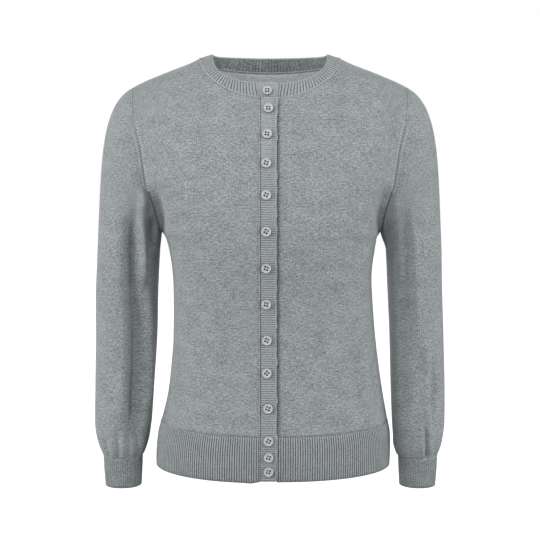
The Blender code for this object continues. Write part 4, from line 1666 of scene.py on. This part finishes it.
@dataclass(frozen=True)
class Buttons:
    """Fourteen four-hole buttons: height on the front, sideways place and turn in degrees of each."""

    body: BodyForm
    neck: NeckForm
    rows: tuple[tuple[float, float, float], ...] = (
        (-0.0533, -0.0026, 90),
        (-0.0768, -0.0022, 0),
        (-0.1097, -0.0037, -10),
        (-0.1461, -0.0048, -17),
        (-0.1859, -0.0048, -23),
        (-0.2311, -0.0048, -28),
        (-0.2773, -0.0048, -18),
        (-0.3247, -0.0048, -14),
        (-0.3723, -0.0040, -23),
        (-0.4151, -0.0040, -40),
        (-0.4609, -0.0025, 71),
        (-0.5026, -0.0018, 62),
        (-0.5236, -0.0018, 71),
        (-0.5420, -0.0018, 77),
    )
    radius: float = 0.0067
    thick: float = 0.0024
    shank: float = 0.0019
    hole: float = 0.00128
    spacing: float = 0.0017
    thread: float = 0.00034
    dish_share: float = 0.78
    shank_radii: tuple[float, float] = (0.0020, 0.0016)
    # Faces beyond this share of the radius take the painted shade ring.
    edge_shade_share: float = 0.93
    sides: int = 40

    def build(self, resin: Material, *finishes: Material) -> None:
        """Makes all the buttons, each a piece that stands for its CAD node, sewn on with its thread.

        Args:
            resin: the face, rim and back.
            finishes: painted shade in the holes, the thread in bars and shank, and painted shade round the
                outer edge.
        """
        shape = self.sewn(self.shape(resin), finishes)
        for number, (height, sideways, turn) in enumerate(self.rows, start=1):
            point, out = self.seat(height, sideways, number == 1)
            name = f"button_{number:02d}"
            data = shape.copy()
            data.transform(
                Matrix.Translation(point + out * self.shank)
                @ out.to_track_quat("Z", "Y").to_matrix().to_4x4()
                @ Matrix.Rotation(math.radians(turn), 4, "Z")
            )
            button = bpy.data.objects.new(f"{name}_turned", data)
            bpy.context.scene.collection.objects.link(button)
            fit(button, BUTTON_SLOT, name)
        log.info("buttons: %d", len(self.rows))

    def seat(self, height: float, x: float, on_band: bool) -> tuple[Vector, Vector]:
        """Where a button's back lies, and the way it faces."""
        if not on_band:
            point = self.body.skin_point(x, height, -1, self.body.overlap_lift)
            return Vector(point), Vector(self.body.skin_normal(x, height, -1))
        turn = np.array(self.neck.end_turn(x))
        low, high = (self.neck.at(turn, np.array(share)) for share in (0.0, 1.0))
        share = (height - low[2]) / (high[2] - low[2])
        point, further = (self.neck.at(turn + step, np.array(share)) for step in (0.0, 0.01))
        out = Vector(np.cross(high - low, further - point)).normalized()
        return Vector(point), out if out.y < 0 else -out

    def sewn(self, shape: bpy.types.Mesh, finishes: Sequence[Material]) -> bpy.types.Mesh:
        """The button with its four holes filled by near-black plugs, painted shade for the holes' depth, two
        bars of thread across, and a wound shank behind.
        """
        mesh = bmesh.new()
        mesh.from_mesh(shape)
        top = self.thick * self.dish_share
        wound = Matrix.Translation((0, 0, -self.shank * 0.6))
        add_peg(mesh, wound, 12, self.shank_radii, self.shank * 1.6, ButtonFinish.THREAD_BARS)
        radii = (self.hole * 0.99, self.hole * 0.99)
        # The plugs fill the holes with painted shade.
        for side in SIDES:
            for hole in SIDES:
                sunk = Matrix.Translation((side * self.spacing, hole * self.spacing, top * 0.50))
                add_peg(mesh, sunk, 10, radii, top * 0.90, ButtonFinish.HOLE_SHADE)
            lying = Matrix.Rotation(math.pi / 2, 4, "Y") @ Matrix.Diagonal((1.0, 1.5, 1.0, 1.0))
            flat = Matrix.Translation((0, side * self.spacing, top * 0.97)) @ lying
            add_peg(mesh, flat, 8, (self.thread, self.thread), self.spacing * 1.1, ButtonFinish.THREAD_BARS)
        mesh.to_mesh(shape)
        mesh.free()
        for finish in finishes:
            shape.materials.append(finish)
        return shape

    def shape(self, resin: Material) -> bpy.types.Mesh:
        """A rimmed, dished disc about its own axis with its back at the origin, and four holes cut in it."""
        r, t = self.radius, self.thick
        profile = (
            (0.0, 0.0),
            (r * 0.84, 0.0),
            (r * 0.95, t * 0.18),
            (r, t * 0.45),
            (r * 0.985, t * 0.75),
            (r * 0.93, t * 0.95),
            (r * 0.87, t),
            (r * 0.80, t * 0.97),
            (r * 0.70, t * 0.82),
            (r * 0.60, t * 0.76),
            (r * 0.40, t * 0.78),
            (0.0, t * 0.80),
        )
        mesh = bmesh.new()
        line = [mesh.verts.new((x, 0.0, z)) for x, z in profile]
        edges = [mesh.edges.new(pair) for pair in zip(line, line[1:])]
        bmesh.ops.spin(
            mesh,
            geom=line + edges,
            cent=(0, 0, 0),
            axis=(0, 0, 1),
            angle=2 * math.pi,
            steps=self.sides,
            use_merge=True,
            use_duplicate=False,
        )
        bmesh.ops.remove_doubles(mesh, verts=mesh.verts[:], dist=WELD)
        bmesh.ops.recalc_face_normals(mesh, faces=mesh.faces[:])
        disc = placed_object("disc", mesh, resin)
        pins = bmesh.new()
        for side in SIDES:
            for hole in SIDES:
                through = Matrix.Translation((side * self.spacing, hole * self.spacing, t / 2))
                add_peg(pins, through, 14, (self.hole, self.hole), 4 * t)
        cutter = placed_object("pins", pins, resin)
        holes = disc.modifiers.new("holes", "BOOLEAN")
        holes.operation, holes.solver, holes.object = "DIFFERENCE", "EXACT", cutter
        shape = bpy.data.meshes.new_from_object(disc.evaluated_get(bpy.context.evaluated_depsgraph_get()))
        shape.set_sharp_from_angle(angle=math.radians(40))
        # The outer ring takes a dark finish: painted shade round the button's edge.
        for face in shape.polygons:
            if face.center.xy.length > r * self.edge_shade_share:
                face.material_index = ButtonFinish.EDGE_SHADE
        bpy.data.objects.remove(disc)
        bpy.data.objects.remove(cutter)
        return shape


# ---------------------------------------------------------------- the studio


@dataclass(frozen=True)
class Lamp:
    """A soft square light.

    Args:
        place: where it stands.
        aim: what it points at.
        size: length of its side.
        power: watts.
    """

    name: str
    place: tuple[float, float, float]
    aim: tuple[float, float, float]
    size: float
    power: float

    def build(self) -> None:
        """Makes the light."""
        data = bpy.data.lights.new(self.name, "AREA")
        data.shape, data.size, data.energy = "SQUARE", self.size, self.power
        lamp = bpy.data.objects.new(self.name, data)
        lamp.location = self.place
        lamp.rotation_euler = (Vector(self.aim) - Vector(self.place)).to_track_quat("-Z", "Y").to_euler()
        lamp.visible_camera = False
        bpy.context.scene.collection.objects.link(lamp)


@dataclass(frozen=True)
class Studio:
    """A white room, soft lights round the garment and a faint one inside it, and the camera."""

    floor_height: float = -1.38
    floor_size: float = 30.0
    ambient: float = 0.235
    camera_place: tuple[float, float, float] = (0.0, -1.700, -0.146)
    camera_aim: tuple[float, float, float] = (0.0, 0.0, -0.290)
    lens: float = 83.6
    lamps: tuple[Lamp, ...] = (
        Lamp("softbox_right", (-1.90, -0.95, 0.15), (0.0, 0.0, -0.25), 1.6, 29.0),
        Lamp("softbox_left", (1.90, -0.95, 0.15), (0.0, 0.0, -0.25), 1.6, 31.0),
        Lamp("high_key", (-0.65, -2.00, 1.00), (0.0, 0.0, -0.15), 0.35, 17.0),
        Lamp("inside_fill", (0.0, -0.025, -0.125), (0.0, 0.09, -0.035), 0.12, 0.036),
        Lamp("back", (0.0, 2.3, 0.5), (0.0, 0.0, -0.25), 2.0, 50.0),
    )

    def build(self) -> None:
        """Makes the room, the lights and the camera."""
        self.world()
        self.floor()
        for lamp in self.lamps:
            lamp.build()
        self.camera()
        bpy.context.scene.view_settings.view_transform = "Standard"

    def world(self) -> None:
        """A plain white surround for the eye, and a dimmer one for the cloth."""
        world = bpy.data.worlds.new("studio")
        bpy.context.scene.world = world
        world.use_nodes = True
        tree = world.node_tree
        tree.nodes.clear()
        seen = add_node(tree, "ShaderNodeLightPath").outputs["Is Camera Ray"]
        dim = add_node(tree, "ShaderNodeBackground", Color=linear("#FFFFFF"), Strength=self.ambient)
        bright = add_node(tree, "ShaderNodeBackground", Color=linear("#FFFFFF"), Strength=1.0)
        both = add_node(tree, "ShaderNodeMixShader", Fac=seen, i1=dim.outputs[0], i2=bright.outputs[0])
        add_node(tree, "ShaderNodeOutputWorld", Surface=both.outputs[0])

    def floor(self) -> None:
        """A pale floor at the wearer's feet."""
        mesh = bmesh.new()
        shift = Matrix.Translation((0, 0, self.floor_height))
        bmesh.ops.create_grid(mesh, x_segments=1, y_segments=1, size=self.floor_size / 2, matrix=shift)
        material, _, _ = new_material(
            "matt_white_floor",
            Base_Color=linear("#F4F4F4"),
            Roughness=0.9,
            Emission_Color=linear("#FFFFFF"),
            Emission_Strength=1.0,
        )
        floor = placed_object("floor", mesh, material)
        floor.visible_diffuse = False

    def camera(self) -> None:
        """The camera, as far away as it takes to see the whole garment."""
        data = bpy.data.cameras.new("camera")
        data.lens, data.sensor_width = self.lens, 36.0
        camera = bpy.data.objects.new("camera", data)
        camera.location = self.camera_place
        way = Vector(self.camera_aim) - Vector(self.camera_place)
        camera.rotation_euler = way.to_track_quat("-Z", "Y").to_euler()
        bpy.context.scene.collection.objects.link(camera)
        bpy.context.scene.camera = camera


BACK_OF_SLEEVE = (
    Crease(((0.195, -0.195), (0.193, -0.290), (0.190, -0.430)), -0.0060, 0.0100, (0.3, 0.4)),
    Crease(((0.179, -0.185), (0.178, -0.270), (0.175, -0.360)), 0.0035, 0.0060, (0.2, 0.5)),
    Crease(((0.218, -0.300), (0.202, -0.318), (0.184, -0.322)), -0.0032, 0.0055),
    Crease(((0.214, -0.338), (0.200, -0.347), (0.186, -0.345)), -0.0026, 0.0050),
)
RIGHT_CREASES = (
    Crease(((0.0830, -0.172), (0.0905, -0.255), (0.0975, -0.335)), 0.0100, 0.0042, (0.12, 0.40)),
    Crease(((0.1020, -0.300), (0.1115, -0.390), (0.1190, -0.490)), 0.0066, 0.0070, (0.25, 0.20)),
    Crease(((0.1025, -0.210), (0.1065, -0.233), (0.1125, -0.265)), -0.0085, 0.0078, (0.45, 0.45)),
    Crease(((0.0735, -0.200), (0.0790, -0.275), (0.0845, -0.352)), -0.0200, 0.0098, (0.42, 0.38)),
    Crease(((0.0860, -0.290), (0.0918, -0.400), (0.0935, -0.535)), -0.0235, 0.0165, (0.30, 0.20)),
    Crease(((0.0680, -0.320), (0.0700, -0.400), (0.0710, -0.505)), 0.0036, 0.0055, (0.30, 0.30)),
)
LEFT_CREASES = (
    Crease(((0.0870, -0.150), (0.0905, -0.235), (0.0925, -0.345)), 0.0030, 0.0062, (0.45, 0.50)),
    Crease(((0.1090, -0.188), (0.1130, -0.235), (0.1160, -0.320)), -0.0080, 0.0075, (0.35, 0.50)),
    Crease(((0.0850, -0.200), (0.0840, -0.290), (0.0830, -0.440)), -0.0058, 0.0080, (0.3, 0.4)),
    Crease(((0.0730, -0.195), (0.0710, -0.290), (0.0690, -0.410)), 0.0034, 0.0050, (0.3, 0.4)),
    Crease(((0.0925, -0.270), (0.0945, -0.380), (0.0965, -0.505)), -0.0050, 0.0090, (0.3, 0.3)),
    Crease(((0.0590, -0.366), (0.0575, -0.430), (0.0590, -0.505)), 0.0046, 0.0060, (0.35, 0.3)),
    Crease(((0.0490, -0.390), (0.0485, -0.450), (0.0520, -0.515)), -0.0050, 0.0062, (0.4, 0.4)),
    Crease(((0.0610, -0.482), (0.0585, -0.512), (0.0520, -0.541)), -0.0050, 0.0036, (0.35, 0.1)),
    Crease(((0.0680, -0.490), (0.0660, -0.515), (0.0600, -0.541)), 0.0028, 0.0040, (0.35, 0.2)),
)


@dataclass(frozen=True)
class Gathers:
    """Short upright folds where a sleeve is drawn in to its cuff: troughs, each with a ridge beside it.

    Args:
        top: how high the highest starts.
        troughs: place round the sleeve and depth of each.
    """

    top: float
    troughs: tuple[tuple[float, float], ...]
    bottom: float = -0.541
    stagger: float = 0.006
    trough_width: float = 0.0032
    ridge_width: float = 0.0034
    ridge_beside: float = 0.0098
    ridge_share: float = 0.6
    ends: tuple[float, float] = (0.5, 0.1)

    def creases(self) -> tuple[Crease, ...]:
        """The folds, whose starts are staggered."""
        made = []
        for number, (place, depth) in enumerate(self.troughs):
            start = self.top - self.stagger * ((number * 5) % 3)
            made.append(self.upright(place, start, -depth, self.trough_width))
            ridge, height = place + self.ridge_beside, depth * self.ridge_share
            made.append(self.upright(ridge, start, height, self.ridge_width))
        return tuple(made)

    def upright(self, place: float, start: float, height: float, width: float) -> Crease:
        """One straight fold that runs down to the cuff."""
        middle = (start + self.bottom) / 2
        return Crease(((place, start), (place, middle), (place, self.bottom)), height, width, self.ends)


BEHIND = (
    (0.124, 0.0018),
    (0.148, 0.0024),
    (0.170, 0.0020),
    (0.196, 0.0028),
    (0.222, 0.0018),
    (0.246, 0.0022),
)
RIGHT_GATHERS = Gathers(
    -0.488, ((0.020, 0.0012), (0.042, 0.0022), (0.063, 0.0030), (0.081, 0.0030), (0.102, 0.0022), *BEHIND)
)
LEFT_GATHERS = Gathers(
    -0.498, ((0.014, 0.0014), (0.034, 0.0016), (0.086, 0.0012), (0.106, 0.0012), *BEHIND)
)

JERSEY_KNIT = HeatherKnit("heathered_wool_jersey_knit", Stitch.JERSEY)
# The jersey's inside, the same yarn drawn much lighter: painted light on the inside of the garment.
JERSEY_INSIDE_PAINTED_LIGHT = HeatherKnit(
    "heathered_wool_jersey_knit_inside_painted_light",
    Stitch.JERSEY,
    "#A4AAAC",
    "#CDD1D2",
    "#E4E7E7",
)
# The rib's tones are lighter than the jersey's though it is the same yarn: painted light on the ridges,
# beside the painted shade in its valleys.
RIB_KNIT = HeatherKnit(
    "heathered_wool_rib_knit",
    Stitch.RIB,
    "#80868A",
    "#A3A9AB",
    "#C2C7C8",
    spread=0.30,
    valley_shade="#1E2326",
    valley_shade_edge=(0.18, 0.70),
    valley_shade_share=0.95,
)
# The rib's inside, the same yarn drawn darker: painted shade on the inside of the bands.
RIB_INSIDE_PAINTED_SHADE = HeatherKnit(
    "heathered_wool_rib_knit_inside_painted_shade",
    Stitch.RIB,
    "#646A6C",
    "#868C8E",
    "#A8ADAE",
    valley_shade_edge=(0.30, 0.82),
    inner=True,
)
# Copies of the rib that differ only in their painted valley shade.
NECK_RIB_KNIT = replace(
    RIB_KNIT,
    name="heathered_wool_neck_rib_knit",
    valley_shade="#363C3F",
    valley_shade_edge=(0.16, 0.60),
    valley_shade_share=0.85,
)
FINE_RIB_KNIT = replace(
    RIB_KNIT,
    name="heathered_wool_fine_rib_knit",
    valley_shade="#474E51",
    valley_shade_edge=(0.12, 0.58),
    valley_shade_share=0.85,
)
# The cuff's rib, with a milder painted shade in its valleys.
CUFF_RIB_KNIT = HeatherKnit(
    "heathered_wool_cuff_rib_knit",
    Stitch.RIB,
    "#6A7072",
    "#8B9193",
    "#AAB0B1",
    valley_shade="#42484B",
    valley_shade_share=0.6,
)


def main() -> None:
    """Builds the garment, piece by piece, in the studio."""
    logging.basicConfig(level=logging.INFO, format="%(message)s")
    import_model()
    Studio().build()
    # The jersey's inside copy carries painted light.
    jersey, purl_painted_light = JERSEY_KNIT.build(), JERSEY_INSIDE_PAINTED_LIGHT.build()
    # The rib's inside copy carries painted shade.
    rib_knit, rib_inside_painted_shade = RIB_KNIT.build(), RIB_INSIDE_PAINTED_SHADE.build()
    neck_rib, fine_rib, cuff_rib = NECK_RIB_KNIT.build(), FINE_RIB_KNIT.build(), CUFF_RIB_KNIT.build()
    yarn = SewingYarn("heathered_wool_yarn_end").build()
    # A near-black copy of the wool: painted shade in the gaps between linking stitches.
    stitch_gap_shade_yarn = SewingYarn("painted_shade_in_stitch_gaps", "#3C4245", "#5E6467").build()
    # A lighter copy of the wool: painted light on the armhole's raised stitches.
    linking_yarn_painted_light = SewingYarn("heathered_wool_linking_yarn_painted_light", "#A5ABAD", "#D5D9DA").build()
    resin = ButtonResin().build()
    body = BodyForm()
    neck = NeckForm(body)
    panels = Panels(body)
    for side in SIDES:
        panels.front(side).build(jersey, purl_painted_light)
    panels.back().build(jersey, purl_painted_light)
    for piece in HemRibs(body).pieces():
        piece.build(rib_knit, rib_inside_painted_shade)
    forms = []
    for side, table, cuff_out, creases in (
        (-1, SLEEVE_RIGHT, 0.0, RIGHT_CREASES + BACK_OF_SLEEVE + RIGHT_GATHERS.creases()),
        (1, SLEEVE_LEFT, 0.0012, LEFT_CREASES + BACK_OF_SLEEVE + LEFT_GATHERS.creases()),
    ):
        form = SleeveForm(body, side, table, cuff_out)
        forms.append(form)
        sleeve, cuff = SleevePiece(form, creases).pieces()
        sleeve.build(jersey)
        cuff.build(cuff_rib, rib_inside_painted_shade)
        ArmholeSeam(body, form).build(yarn, linking_yarn_painted_light)
    Neckband(neck).piece().build(neck_rib, rib_inside_painted_shade)
    for piece in Plackets(body).pieces():
        piece.build(fine_rib, rib_inside_painted_shade)
    Seams(body, neck, tuple(forms)).build(yarn, stitch_gap_shade_yarn)
    # Near-black plugs in the button holes: painted shade.
    hole_shade_thread = SewingYarn("painted_shade_in_button_holes", "#0C0E0F", "#1A1D1E", 0.0006).build()
    thread_bars = SewingYarn("spun_polyester_thread_bars", "#3A3E41", "#5C6063", 0.0006).build()
    # A darker copy of the resin for the button's edge: painted shade.
    edge = ButtonResin("cast_resin_button_edge_painted_shade", "#6C6E70", "#5C5E60").build()
    Buttons(body, neck).build(resin, hole_shade_thread, thread_bars, edge)


if __name__ == "__main__":
    main()
